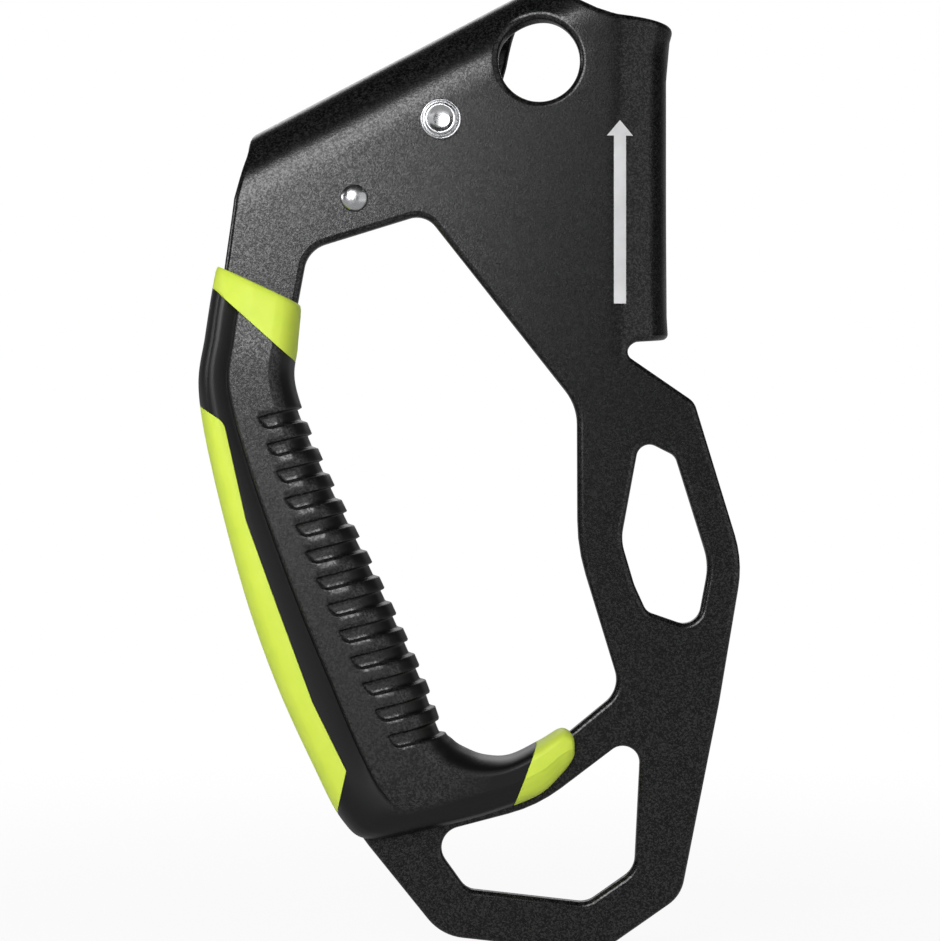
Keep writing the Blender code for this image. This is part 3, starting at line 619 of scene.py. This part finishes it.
SIDE_HOLE = [
    (6.0, -67.8, 2.8), (13.5, -71.6, 2.8), (20.7, -94.6, 13.0), (18.1, -108.4, 3.8), (7.4, -104.7, 3.0),
    (4.8, -99.0, 12.0), (2.0, -89.5, 10.0),
]
TOP_HOLE, TOP_HOLE_R, TOP_HOLE_STEPS = Vector((-15.45, 12.5)), 8.65, 72


def flat_blank():
    """Blank as a bmesh in millimetres, with rounded edges and its four openings."""
    turn = 2 * math.pi / TOP_HOLE_STEPS
    ring = [Vector((math.cos(turn * step), math.sin(turn * step))) for step in range(TOP_HOLE_STEPS)]
    outlines = [rounded(corners) for corners in (PLATE_CORNERS, HAND_OPENING, LOWER_HOLE, SIDE_HOLE)]
    outlines.append([TOP_HOLE + point * TOP_HOLE_R for point in ring])
    arc = [math.pi / 2 * step / EDGE_STEPS for step in range(EDGE_STEPS + 1)]
    sinks = [(EDGE_ROUND * (1 - math.cos(a)), EDGE_ROUND * (1 - math.sin(a))) for a in arc]
    levels = [(PLATE_FACE_Y + sink, inset) for sink, inset in sinks]
    levels += [(PLATE_BACK_Y - sink, inset) for sink, inset in reversed(sinks)]
    bm = bmesh.new()
    caps = ([], [])
    for number, outline in enumerate(outlines):
        points = clockwise(outline)
        side = -1 if number == 0 else 1
        rings = []
        for y, inset in levels:
            rings.append([bm.verts.new((p.x, y, p.y)) for p in grown(points, side * inset)])
        for ring, after in zip(rings, rings[1:]):
            for index in range(len(ring)):
                bm.faces.new((ring[index - 1], ring[index], after[index], after[index - 1]))
        for cap, ring in zip(caps, (rings[0], rings[-1])):
            cap += [bm.edges.get((ring[index - 1], ring[index])) for index in range(len(ring))]
    for cap in caps:
        bmesh.ops.triangle_fill(bm, edges=cap, use_beauty=True, normal=(0, -1, 0))
    return bm


blank = flat_blank()
print("blank:", len(blank.faces), "faces")

# %% Shape of the folds
CHANNEL_EASE, SPINE_EASE = 2.0, 4.0
FLARE, LOW_FLARE, FLARE_LENGTH = 2.5, 0.6, 11.0
NOTCH_FADE, NOTCH_NEAR, NOTCH_FAR = 6.0, 3.0, 6.5
CHANNEL_OVER, NOTCH_UNDER = 1.0, 0.05
SPINE_LOW_Z = -45.0
TABLE_REACH, TABLE_STEPS = 30.0, 6000


def fold_table(ease):
    """Path of the plate's neutral line round a fold: length, angle, run and depth."""
    length = np.linspace(-ease, BEND_LENGTH + TABLE_REACH, TABLE_STEPS)
    eased = np.where(length < ease, (length + ease) ** 2 / (4 * ease), length)
    angle = np.minimum(math.pi, math.pi * eased / BEND_LENGTH)
    step = length[1] - length[0]
    run = np.cumsum(np.cos(angle)) * step - ease
    depth = np.cumsum(np.sin(angle)) * step
    return length, angle, run, depth * 2 * NEUTRAL_R / depth[-1] - NEUTRAL_R


FOLDS = {"channel": fold_table(CHANNEL_EASE), "spine": fold_table(SPINE_EASE)}


def bend(fold, past, y):
    """Run and depth of a point of the blank that lies past the start of a fold."""
    length, angle, run, depth = FOLDS[fold]
    turn = np.interp(past, length, angle)
    out = -y - NEUTRAL_R
    return (np.interp(past, length, run) + out * math.sin(turn),
            np.interp(past, length, depth) - out * math.cos(turn), turn)


def folded(place):
    """Carry a point of the flat blank round the channel fold or the spine fold."""
    x, y, z = place
    past = x - CHANNEL_X
    if past > -CHANNEL_EASE and CHANNEL_LOW_Z - NOTCH_FADE < z < CHANNEL_TOP_Z + CHANNEL_OVER:
        run, depth, turn = bend("channel", past, y)
        top = max(0.0, 1.0 - (CHANNEL_TOP_Z - z) / FLARE_LENGTH)
        low = min(1.0, max(0.0, 1.0 - (z - CHANNEL_LOW_Z) / FLARE_LENGTH))
        run += (FLARE * top ** 2 + LOW_FLARE * low ** 2) * math.sin(turn)
        keep = 1.0
        if z < CHANNEL_LOW_Z - NOTCH_UNDER:
            near = min(1.0, max(0.0, (NOTCH_FAR - past) / (NOTCH_FAR - NOTCH_NEAR)))
            keep = near * (1.0 - (CHANNEL_LOW_Z - z) / NOTCH_FADE) ** 2
        return Vector((x, y, z)).lerp(Vector((CHANNEL_X + run, depth, z)), keep)
    arm = Vector((x, z)) - SPINE_START
    past = arm.dot(SPINE_BEYOND)
    if past > -SPINE_EASE and z > SPINE_LOW_Z:
        run, depth, turn = bend("spine", past, y)
        flat = SPINE_START + SPINE_ALONG * arm.dot(SPINE_ALONG) + SPINE_BEYOND * run
        return Vector((flat.x, depth, flat.y))
    return Vector(place)


spine_edge = SPINE_START + SPINE_BEYOND * BEND_LENGTH
print("the spine folds to depth", round(folded((spine_edge.x, PLATE_FACE_Y, spine_edge.y)).y, 2), "mm")

# %% Fold the plate
FOLD_STEPS = 36
EASE_SLICES = [-4.0, -2.6, -1.3]
CHANNEL_LEFT_X, PLATE_LEFT_X = CHANNEL_X - 12.0, -1000.0
SLICE_MARGIN, WELD_DISTANCE = 1e-5, 1e-7


def slice_folds(bm):
    """Add edges across the blank where it will bend, square to each fold."""
    reaches = EASE_SLICES + [BEND_LENGTH * step / FOLD_STEPS for step in range(FOLD_STEPS + 1)]
    for reach in reaches:
        spine = SPINE_START + SPINE_BEYOND * reach
        planes = [((CHANNEL_X + reach, 0, 0), (1, 0, 0), CHANNEL_LEFT_X, CHANNEL_LOW_Z - NOTCH_FADE)]
        across = (SPINE_BEYOND.x, 0, SPINE_BEYOND.y)
        planes.append(((spine.x, 0, spine.y), across, PLATE_LEFT_X, SPINE_LOW_Z))
        for point, normal, least_x, least_z in planes:
            faces = []
            for face in bm.faces:
                centre = face.calc_center_median()
                if centre.x > least_x and centre.z > least_z:
                    faces.append(face)
            edges = {edge for face in faces for edge in face.edges}
            verts = {vert for face in faces for vert in face.verts}
            bmesh.ops.bisect_plane(bm, geom=list(verts) + list(edges) + faces, plane_co=point,
                                   plane_no=normal, dist=SLICE_MARGIN)


def fold_plate(bm):
    """Mesh of the folded plate; the blank is used up."""
    slice_folds(bm)
    for vert in bm.verts:
        vert.co = folded(vert.co) * MM
    bmesh.ops.remove_doubles(bm, verts=bm.verts, dist=WELD_DISTANCE)
    bmesh.ops.triangulate(bm, faces=bm.faces)
    bmesh.ops.recalc_face_normals(bm, faces=bm.faces)
    return to_mesh(bm, "plate")


def drilled(mesh, place, radius, y_range):
    """Drill a round hole through the plate along Y."""
    bm = bmesh.new()
    height = y_range[1] - y_range[0]
    middle = Matrix.Translation(Vector((place[0], sum(y_range) / 2, place[1])) * MM)
    turn = Matrix.Rotation(math.radians(90), 4, "X")
    bmesh.ops.create_cone(bm, cap_ends=True, segments=ROUND_SIDES, radius1=radius * MM,
                          radius2=radius * MM, depth=height * MM, matrix=middle @ turn)
    return carve(mesh, to_mesh(bm, "drill"), "DIFFERENCE")


folded_mesh = fold_plate(blank)
print("folded plate:", len(folded_mesh.polygons), "faces")

# %% Drill the plate
AXLE_PLACE, AXLE_HOLE_R, PLATE_AND_EAR = (-36.4, 0.0), 3.4, (-20.0, 20.0)
STOP_PLACE, STOP_HOLE_R, PLATE_ALONE = (-54.8, -16.8), 2.2, (-20.0, -3.0)
PLATE_FLAT_WEIGHT = 80
axle_drilled = drilled(folded_mesh, AXLE_PLACE, AXLE_HOLE_R, PLATE_AND_EAR)
plate = mould("plate", drilled(axle_drilled, STOP_PLACE, STOP_HOLE_R, PLATE_ALONE), "frame_black")
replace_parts(plate, "frame")
flats = plate.modifiers.new("flats", "WEIGHTED_NORMAL")
flats.weight = PLATE_FLAT_WEIGHT
flats.keep_sharp = True
print("plate:", len(plate.data.polygons), "faces")

# %% [markdown]
# ## Arrow
# A printed arrow shows which end goes up the rope. It is a thin coat of pale paint. Printing can't reach
# round the whole bend, so it sits where the flat plate starts to turn into the channel. An outline of
# seven corners is cut into strips, and the strips follow the start of the bend.

# %% Arrow
PAINT_LOW, PAINT_HIGH = 0.004, 0.04
ARROW_MIDDLE = 1.7
ARROW_TOP, ARROW_NECK, ARROW_END = -0.2, -3.5, -39.2
HEAD_HALF, SHAFT_HALF = 2.8, 1.3
STRIP_WIDTH, STRIPS_EACH_SIDE, STRIP_MARGIN = 0.3, 9, 1e-6
MID_CHANNEL_Z, SKIN_STEP = -20.0, 0.1
PAINT_DARK, PAINT_LIGHT = (0.63, 0.63, 0.64), (0.82, 0.82, 0.83)
skin_starts = [CHANNEL_X + step * SKIN_STEP for step in range(-40, 60)]
channel_skin = np.array([folded((x, PLATE_FACE_Y, MID_CHANNEL_Z)) for x in skin_starts])


def plate_y(x, lift):
    """Depth of the plate's bare side at x, a little in front of it."""
    return np.interp(x, channel_skin[:, 0], channel_skin[:, 1]) - lift


def arrow_paint(look):
    """Thin coat in the shape of an arrow, laid on the start of the bend."""
    right = [(HEAD_HALF, ARROW_NECK), (SHAFT_HALF, ARROW_NECK), (SHAFT_HALF, ARROW_END)]
    outline = [(0.0, ARROW_TOP)] + right + [(-x, z) for x, z in reversed(right)]
    bm = bmesh.new()
    bm.faces.new([bm.verts.new((ARROW_MIDDLE + x, 0.0, z)) for x, z in outline])
    for step in range(-STRIPS_EACH_SIDE, STRIPS_EACH_SIDE + 1):
        geometry = list(bm.verts) + list(bm.edges) + list(bm.faces)
        bmesh.ops.bisect_plane(bm, geom=geometry, plane_co=(ARROW_MIDDLE + step * STRIP_WIDTH, 0, 0),
                               plane_no=(1, 0, 0), dist=STRIP_MARGIN)
    low = list(bm.verts)
    lifted = bmesh.ops.extrude_face_region(bm, geom=list(bm.faces), use_keep_orig=True)
    high = [item for item in lifted["geom"] if isinstance(item, bmesh.types.BMVert)]
    for lift, verts in ((PAINT_LOW, low), (PAINT_HIGH, high)):
        for vert in verts:
            vert.co.y = plate_y(vert.co.x, lift)
    bmesh.ops.scale(bm, vec=(MM, MM, MM), verts=bm.verts)
    bmesh.ops.recalc_face_normals(bm, faces=bm.faces)
    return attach(link_mesh("arrow", to_mesh(bm, "arrow"), look), "frame_body")


def arrow_print():
    """Pale grey paint with a soft, uneven shade."""
    look, tree, shader = finish("arrow_print", (0.75, 0.75, 0.76), 0.42)
    shade = spread(tree, grain(tree, 9.0, 3.0), SPOTS_LOW, SPOTS_HIGH, 0, 1)
    tint(tree, shader, shade, PAINT_DARK, PAINT_LIGHT)
    return look


arrow = arrow_paint(arrow_print())
print("arrow", len(arrow.data.polygons), "faces")

# %% [markdown]
# ## Grip
# The handle is moulded round the bar in two colours. Its solid is coarse, so the picture gets a fine
# skin of the same form: sections are placed at stations along the handle, a smooth curve joins them, and
# the rows of the mesh run along the finger grooves. Every groove then has its own rows for its rounded
# lips and its floor.

# %% Grip stations and sections
GRIP_STATIONS = [
    # palm side x, z, finger side x, z, half depth, share of the stepped section
    (-83.5, -31.4, -67.1, -39.2, 8.0, 1.0),
    (-84.5, -32.8, -66.3, -40.4, 9.6, 1.0),
    (-86.6, -45.9, -67.0, -48.4, 11.2, 1.0),
    (-88.0, -57.6, -67.3, -57.2, 11.5, 1.0),
    (-85.1, -74.8, -60.88, -74.0, 11.5, 1.0),
    (-78.5, -100.1, -48.98, -98.6, 11.5, 1.0),
    (-71.7, -119.6, -40.08, -118.4, 11.5, 1.0),
    (-63.9, -136.9, -36.0, -129.5, 11.5, 0.9),
    (-57.5, -149.1, -34.0, -132.0, 11.2, 0.5),
    (-51.4, -153.2, -31.7, -133.6, 10.8, 0.1),
    (-38.3, -150.9, -27.2, -135.3, 9.8, 0.0),
    (-25.9, -147.7, -21.7, -135.3, 9.0, 0.0),
    (-15.7, -143.8, -15.3, -132.2, 8.0, 0.0),
    (-10.6, -139.2, -11.0, -129.7, 6.8, 0.0),
    (-8.6, -136.6, -8.8, -130.4, 5.8, 0.0),
    (-8.0, -135.2, -8.1, -131.6, 4.6, 0.0),
]
STEPPED_SECTION = [
    # share of the way from palm to fingers, share of the half depth
    (0.0, 0.0), (0.012, 0.27), (0.035, 0.48), (0.06, 0.61), (0.09, 0.705), (0.12, 0.762), (0.15, 0.79),
    (0.185, 0.8), (0.22, 0.79), (0.26, 0.765), (0.33, 0.725), (0.352, 0.95), (0.37, 1.0), (0.76, 1.0),
    (0.8, 0.985), (0.84, 0.925), (0.91, 0.76), (0.97, 0.52), (1.0, 0.2),
]
ROUND_SECTION = [
    (0.0, 0.0), (0.012, 0.26), (0.045, 0.48), (0.1, 0.65), (0.17, 0.77), (0.24, 0.85), (0.31, 0.91),
    (0.37, 0.95), (0.43, 0.98), (0.5, 1.0), (0.74, 1.0), (0.83, 0.95), (0.915, 0.79), (0.975, 0.52),
    (1.0, 0.2),
]
COLUMNS = (4, 3, 3, 3, 3, 3, 3, 3, 3, 4, 4, 4, 36, 5, 5, 5, 5, 4)
TYPICAL_WIDTH, TYPICAL_DEPTH = 28.0, 11.0
ROUND_SAMPLES = 200


def between_stations(places):
    """Smooth Catmull-Rom values of the stations at places, counted in stations."""
    rows = np.array(GRIP_STATIONS, float)
    last = len(rows) - 1
    first = np.clip(np.asarray(places).astype(int), 0, last - 1)
    t = (np.asarray(places) - first)[:, None]
    p, q, r, s = (rows[np.clip(first + step, 0, last)] for step in (-1, 0, 1, 2))
    curve = 2 * q + (r - p) * t + (2 * p - 5 * q + 4 * r - s) * t ** 2
    return (curve + (3 * q - p - 3 * r + s) * t ** 3) / 2


def even_curve(points, places):
    """Smooth values at places, counted in points, that never swing past the points."""
    points = np.array(points, float)
    chords = np.linalg.norm(np.diff(points * (TYPICAL_WIDTH, TYPICAL_DEPTH), axis=0), axis=1)[:, None]
    slopes = np.diff(points, axis=0) / chords
    before, after = slopes[:-1], slopes[1:]
    steady = before * after > 0
    inner = np.where(steady, 2 * before * after / np.where(steady, before + after, 1), 0)
    tangents = np.vstack([slopes[:1], inner, slopes[-1:]])
    first = np.clip(np.asarray(places).astype(int), 0, len(points) - 2)
    t = (np.asarray(places) - first)[:, None]
    start, end = points[first], points[first + 1]
    leave, arrive = tangents[first] * chords[first], tangents[first + 1] * chords[first]
    value = (2 * t ** 3 - 3 * t ** 2 + 1) * start + (t ** 3 - 2 * t ** 2 + t) * leave
    return value + (3 * t ** 2 - 2 * t ** 3) * end + (t ** 3 - t ** 2) * arrive


def section_halves():
    """Near half of the stepped section and of the round one, at the same shares."""
    places = [index + step / count for index, count in enumerate(COLUMNS) for step in range(count)]
    stepped = even_curve(STEPPED_SECTION, places + [len(COLUMNS)])
    smooth = even_curve(ROUND_SECTION, np.linspace(0, len(ROUND_SECTION) - 1, ROUND_SAMPLES))
    heights = np.interp(stepped[:, 0], smooth[:, 0], smooth[:, 1])
    return stepped, np.column_stack([stepped[:, 0], heights])


stepped_half, round_half = section_halves()
print("grip section:", len(stepped_half), "points on each side")

# %% Grooves and rows
GROOVE_COUNT = 13
GROOVE_HALF = 1.4
GROOVE_DEPTH = 1.1
GROOVE_FIRST, GROOVE_MIDDLE, GROOVE_LAST = (-74.4, -64.95), (-62.3, -98.7), (-47.2, -131.7)
GROOVE_ANGLE = math.radians(13.5)
GROOVE_LEAN = np.array([math.cos(GROOVE_ANGLE), math.sin(GROOVE_ANGLE)])
GROOVE_UP = np.array([-GROOVE_LEAN[1], GROOVE_LEAN[0]])
LIP = 0.32
TIP_CUT = 1.5
TIP_ROUND = 0.8
STEP_SHIFT, SHIFT_FROM, SHIFT_OVER = 0.045, 3.0, 3.0
SHIFT_SHARES = (0.1, 0.25, 0.4, 0.5)
GROOVED_FROM, GROOVED_TO, HALVINGS = 2.0, 10.0, 40
COLLAR_ROWS = np.linspace(0.25, 1.75, 7)
LIP_ROWS, FLOOR_ROWS = (1.1, 0.6, 0.2, -0.2, -0.6, -1.1), [0.45, -0.45]
ROW_SPACING, HEEL_ROWS = 0.06, 84


def groove_tips():
    """Tips of the grooves, evenly spaced along a parabola."""
    first, middle, last = (np.array(place) for place in (GROOVE_FIRST, GROOVE_MIDDLE, GROOVE_LAST))
    bow = 2 * middle - (first + last) / 2
    t = np.linspace(0, 1, GROOVE_COUNT)[:, None]
    return first * (1 - t) ** 2 + 2 * bow * t * (1 - t) + last * t ** 2


def groove_depth(flat):
    """How deep a groove is at flat (x, z) places, from 0 to 1, with rounded lips."""
    deepest = np.zeros(len(flat))
    side = np.array([2 * GROOVE_HALF, TIP_CUT]) / math.hypot(2 * GROOVE_HALF, TIP_CUT)
    for tip in groove_tips():
        along, across = (flat - tip) @ GROOVE_LEAN, (flat - tip) @ GROOVE_UP
        wall = np.abs(across) - GROOVE_HALF + TIP_ROUND
        end = -along * side[0] - (across - GROOVE_HALF) * side[1] + TIP_ROUND
        outside = np.hypot(np.maximum(wall, 0), np.maximum(end, 0))
        distance = outside + np.minimum(np.maximum(wall, end), 0) - TIP_ROUND
        share = np.clip((LIP - distance) / (2 * LIP), 0, 1)
        deepest = np.maximum(deepest, share * share * (3 - 2 * share))
    return deepest


def station_at(shares, tip, rise):
    """Station at which the line along a groove, raised by rise, crosses each share."""
    low, high = np.full(len(shares), GROOVED_FROM), np.full(len(shares), GROOVED_TO)
    for _ in range(HALVINGS):
        middle = (low + high) / 2
        rows = between_stations(middle)
        flat = rows[:, 0:2] + (rows[:, 2:4] - rows[:, 0:2]) * shares[:, None]
        above = (flat - tip) @ GROOVE_UP > rise
        low, high = np.where(above, middle, low), np.where(above, high, middle)
    return (low + high) / 2


def grip_rows(shares):
    """Stations of every row of the skin: one value for each share."""
    lips = [GROOVE_HALF + LIP * step for step in LIP_ROWS]
    offsets = lips + FLOOR_ROWS + [-lip for lip in reversed(lips)]
    rows = [np.full(len(shares), 0.0)]
    rows += [np.full(len(shares), value) for value in COLLAR_ROWS]
    for tip in groove_tips():
        for offset in offsets:
            after = station_at(shares, tip, offset)
            spacing = np.max(np.abs(after - rows[-1]))
            steps = max(1, math.ceil(spacing / ROW_SPACING)) if offset == offsets[0] else 1
            rows += [rows[-1] + (after - rows[-1]) * step / steps for step in range(1, steps)] + [after]
    last = len(GRIP_STATIONS) - 1.0
    start = rows[-1]
    rows += [start + (last - start) * step / HEEL_ROWS for step in range(1, HEEL_ROWS + 1)]
    return np.array(rows)


def step_shift(row, shares):
    """The step to the panel moves towards the fingers further down the handle."""
    down = np.clip((row - SHIFT_FROM) / SHIFT_OVER, 0, 1)
    return STEP_SHIFT * down * np.interp(shares, SHIFT_SHARES, (0, 1, 1, 0))


def grip_skin(stepped, grooved):
    """Closed skin of the whole grip, with or without its step and grooves."""
    half_points = np.vstack([stepped_half, stepped_half[-1:0:-1]])
    signs = np.concatenate([np.ones(len(stepped_half)), -np.ones(len(stepped_half) - 1)])
    plain_points = np.vstack([round_half, round_half[-1:0:-1]])
    rows = grip_rows(half_points[:, 0])
    points = []
    for row in rows:
        data = between_stations(row)
        share_of_step = np.clip(data[:, 5], 0, 1)[:, None] * stepped
        section = plain_points + (half_points - plain_points) * share_of_step
        section[:, 0] += step_shift(row, section[:, 0])
        palm, across = data[:, 0:2], data[:, 2:4] - data[:, 0:2]
        flat = palm + across * section[:, :1]
        inset = GROOVE_DEPTH * groove_depth(flat) if grooved else np.zeros(len(flat))
        width = np.linalg.norm(across, axis=1)
        shrink = (1 - 2 * inset / width)[:, None]
        flat = palm + across / 2 + across * (section[:, :1] - 0.5) * shrink
        y = GRIP_MIDDLE_Y - signs * section[:, 1] * (data[:, 4] - inset)
        points.append(np.column_stack([flat[:, 0], y, flat[:, 1]]))
    count = len(half_points)
    faces = []
    for row in range(len(rows) - 1):
        here, after = row * count, (row + 1) * count
        for column in range(count):
            last = column - 1 if column else count - 1
            faces.append((here + last, here + column, after + column, after + last))
    faces.append(tuple(range(count)))
    faces.append(tuple(reversed(range((len(rows) - 1) * count, len(rows) * count))))
    mesh = bpy.data.meshes.new("grip_skin")
    mesh.from_pydata((np.vstack(points) * MM).tolist(), [], faces)
    bm = bmesh.new()
    bm.from_mesh(mesh)
    bmesh.ops.recalc_face_normals(bm, faces=bm.faces)
    bm.to_mesh(mesh)
    bm.free()
    return mesh


skin, plain_skin = grip_skin(1.0, True), grip_skin(0.0, False)
print("grip skin:", len(skin.polygons), "faces")

# %% [markdown]
# ## Cutting the skin into its mouldings
# The lime collar, tip and palm strip are separate shots of plastic. Each is the part of the skin that
# lies inside a prism, and the black body is what is left. A fine gap stays between the shots, as it
# does where two mouldings shrink away from each other. The bar of the plate is taken out of all four.

# %% Cut the mouldings
SEAM = 0.12
THROUGH = (-30.0, 12.0)
BAND = [(-95.0, -26.8), (-60.0, -25.0), (-60.0, -58.0)]
TIP = [(-15.9, -132.3), (-12.2, -122.3), (0.0, -122.0), (0.0, -152.0), (-23.2, -152.0)]
STRIP = [
    (-95.0, -56.1), (-82.9, -63.95), (-82.2, -64.7), (-81.75, -65.5), (-77.3, -85.2), (-70.8, -103.2),
    (-63.3, -123.5), (-56.2, -137.9), (-59.0, -150.0), (-95.0, -150.0),
]
LIME_CUTS = [("top_band", False, BAND), ("tip_band", False, TIP), ("back_strip", True, STRIP)]


def prism(outline, grow=0.0):
    """Prism through the grip over a clockwise outline, grown outwards by a margin."""
    points = grown([Vector(point) for point in outline], grow)
    bm = bmesh.new()
    ends = [[bm.verts.new((p.x * MM, y * MM, p.y * MM)) for p in points] for y in THROUGH]
    bm.faces.new(ends[0])
    bm.faces.new(ends[1])
    for index in range(len(points)):
        bm.faces.new((ends[0][index - 1], ends[0][index], ends[1][index], ends[1][index - 1]))
    bmesh.ops.recalc_face_normals(bm, faces=bm.faces)
    return to_mesh(bm, "prism")


body = skin.copy()
for name, stepped, outline in LIME_CUTS:
    source = skin if stepped else plain_skin
    piece = carve(carve(source.copy(), prism(outline), "INTERSECT"), plate.data, "DIFFERENCE")
    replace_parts(mould(name + "_skin", piece, "lime"), "grip_" + name)
    body = carve(body, prism(outline, SEAM), "DIFFERENCE")
grip = mould("grip_skin", carve(body, plate.data, "DIFFERENCE"), "grip_black")
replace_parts(grip, "grip_body")
print("black moulding:", len(grip.data.polygons), "faces")

# %% [markdown]
# ## Rivet heads
# The cam's axle and the stop pin are steel rivets, turned and then pressed shut. The axle's head has a
# dish, a raised ring and a flange with a groove between them. Each is a profile turned about its axis,
# drawn finer than the solid, with its head right down on the plate.

# %% Rivets
HEAD_GAP = 0.02
HEAD_Y = PLATE_FACE_Y - HEAD_GAP
TURN_SIDES = 96
AXLE_PROFILE = [
    # radius, y
    (0, -12.1), (1.2, -12.12), (1.9, -12.2), (2.3, -12.4), (2.55, -12.62), (2.8, -12.75), (3.1, -12.76),
    (3.3, -12.66), (3.45, -12.4), (3.52, -11.8), (3.62, -11.62), (3.8, -11.66), (3.92, -11.9),
    (4.08, -12.0), (4.22, -11.95), (4.32, -11.8), (4.35, HEAD_Y), (3.1, HEAD_Y), (3.1, 12.65),
    (4.4, 12.65), (4.6, 13.05), (4.1, 13.75), (1.9, 13.75), (1.2, 12.75), (0, 12.65),
]
DOME_R, DOME_HEIGHT, DOME_RIM, DOME_STEPS = 2.9, 1.45, 0.25, 10
dome = [math.radians(90 - 90 * step / DOME_STEPS) for step in range(DOME_STEPS + 1)]
STOP_PROFILE = [(DOME_R * math.cos(a), HEAD_Y - DOME_RIM - DOME_HEIGHT * math.sin(a)) for a in dome]
STOP_PROFILE[0] = (0, STOP_PROFILE[0][1])
STOP_PROFILE += [(DOME_R, HEAD_Y), (1.9, HEAD_Y), (1.9, -6.95), (3.0, -6.95), (3.0, -5.95)]
STOP_PROFILE += [(1.9, -5.75), (1.9, 2.0), (1.6, 2.3), (0, 2.3)]
RIVETS = [("cam_axle", AXLE_PROFILE, AXLE_PLACE), ("stop_pin", STOP_PROFILE, STOP_PLACE)]


def turned(name, profile, place):
    """Mesh of a profile turned about a Y axis through a place of the plate."""
    bm = bmesh.new()
    rings = []
    for radius, y in profile:
        count = TURN_SIDES if radius else 1
        ring = []
        for step in range(count):
            angle = 2 * math.pi * step / count
            x, z = place[0] + radius * math.cos(angle), place[1] + radius * math.sin(angle)
            ring.append(bm.verts.new((x * MM, y * MM, z * MM)))
        rings.append(ring)
    for ring, after in zip(rings, rings[1:]):
        for step in range(TURN_SIDES):
            loop = [ring[step % len(ring)], ring[(step + 1) % len(ring)]]
            loop += [after[(step + 1) % len(after)], after[step % len(after)]]
            bm.faces.new(list(dict.fromkeys(loop)))
    bmesh.ops.recalc_face_normals(bm, faces=bm.faces)
    return to_mesh(bm, name)


for name, profile, place in RIVETS:
    rivet = mould(name + "_rivet", turned(name, profile, place), "polished_steel")
    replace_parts(rivet, name)
    print(rivet.name, len(rivet.data.polygons), "faces")

# %% [markdown]
# ## Springs
# A torsion spring is wound from drawn wire. Its hooked end turns with one piece and its leg leans on
# another, so a stiff copy would leave its hole when the joint moves. Here each spring is such a stiff
# copy of its solid, shaded smooth and put in place of its node.

# %% Springs
SPRINGS = [
    # node, body of the hooked end, body of the leg, depth of the hook and depth of the leg
    ("cam_spring", "cam_body", "frame_body", 1.3, 5.2),
    ("trigger_spring", "trigger_body", "cam_body", 2.3, 5.0),
]


def wound(node, hooked, leaning, low, high):
    """Smooth copy of a spring's solid in place of its node; the end bodies and depths are not used."""
    solid = nodes[node]
    mesh = solid.data.copy()
    mesh.transform(solid.matrix_world)
    mesh.shade_smooth()
    wire = link_mesh(node + "_wire", mesh, looks["spring_steel"])
    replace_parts(wire, node)
    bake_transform(wire)
    return wire


for row in SPRINGS:
    print("twisting", wound(*row).name)
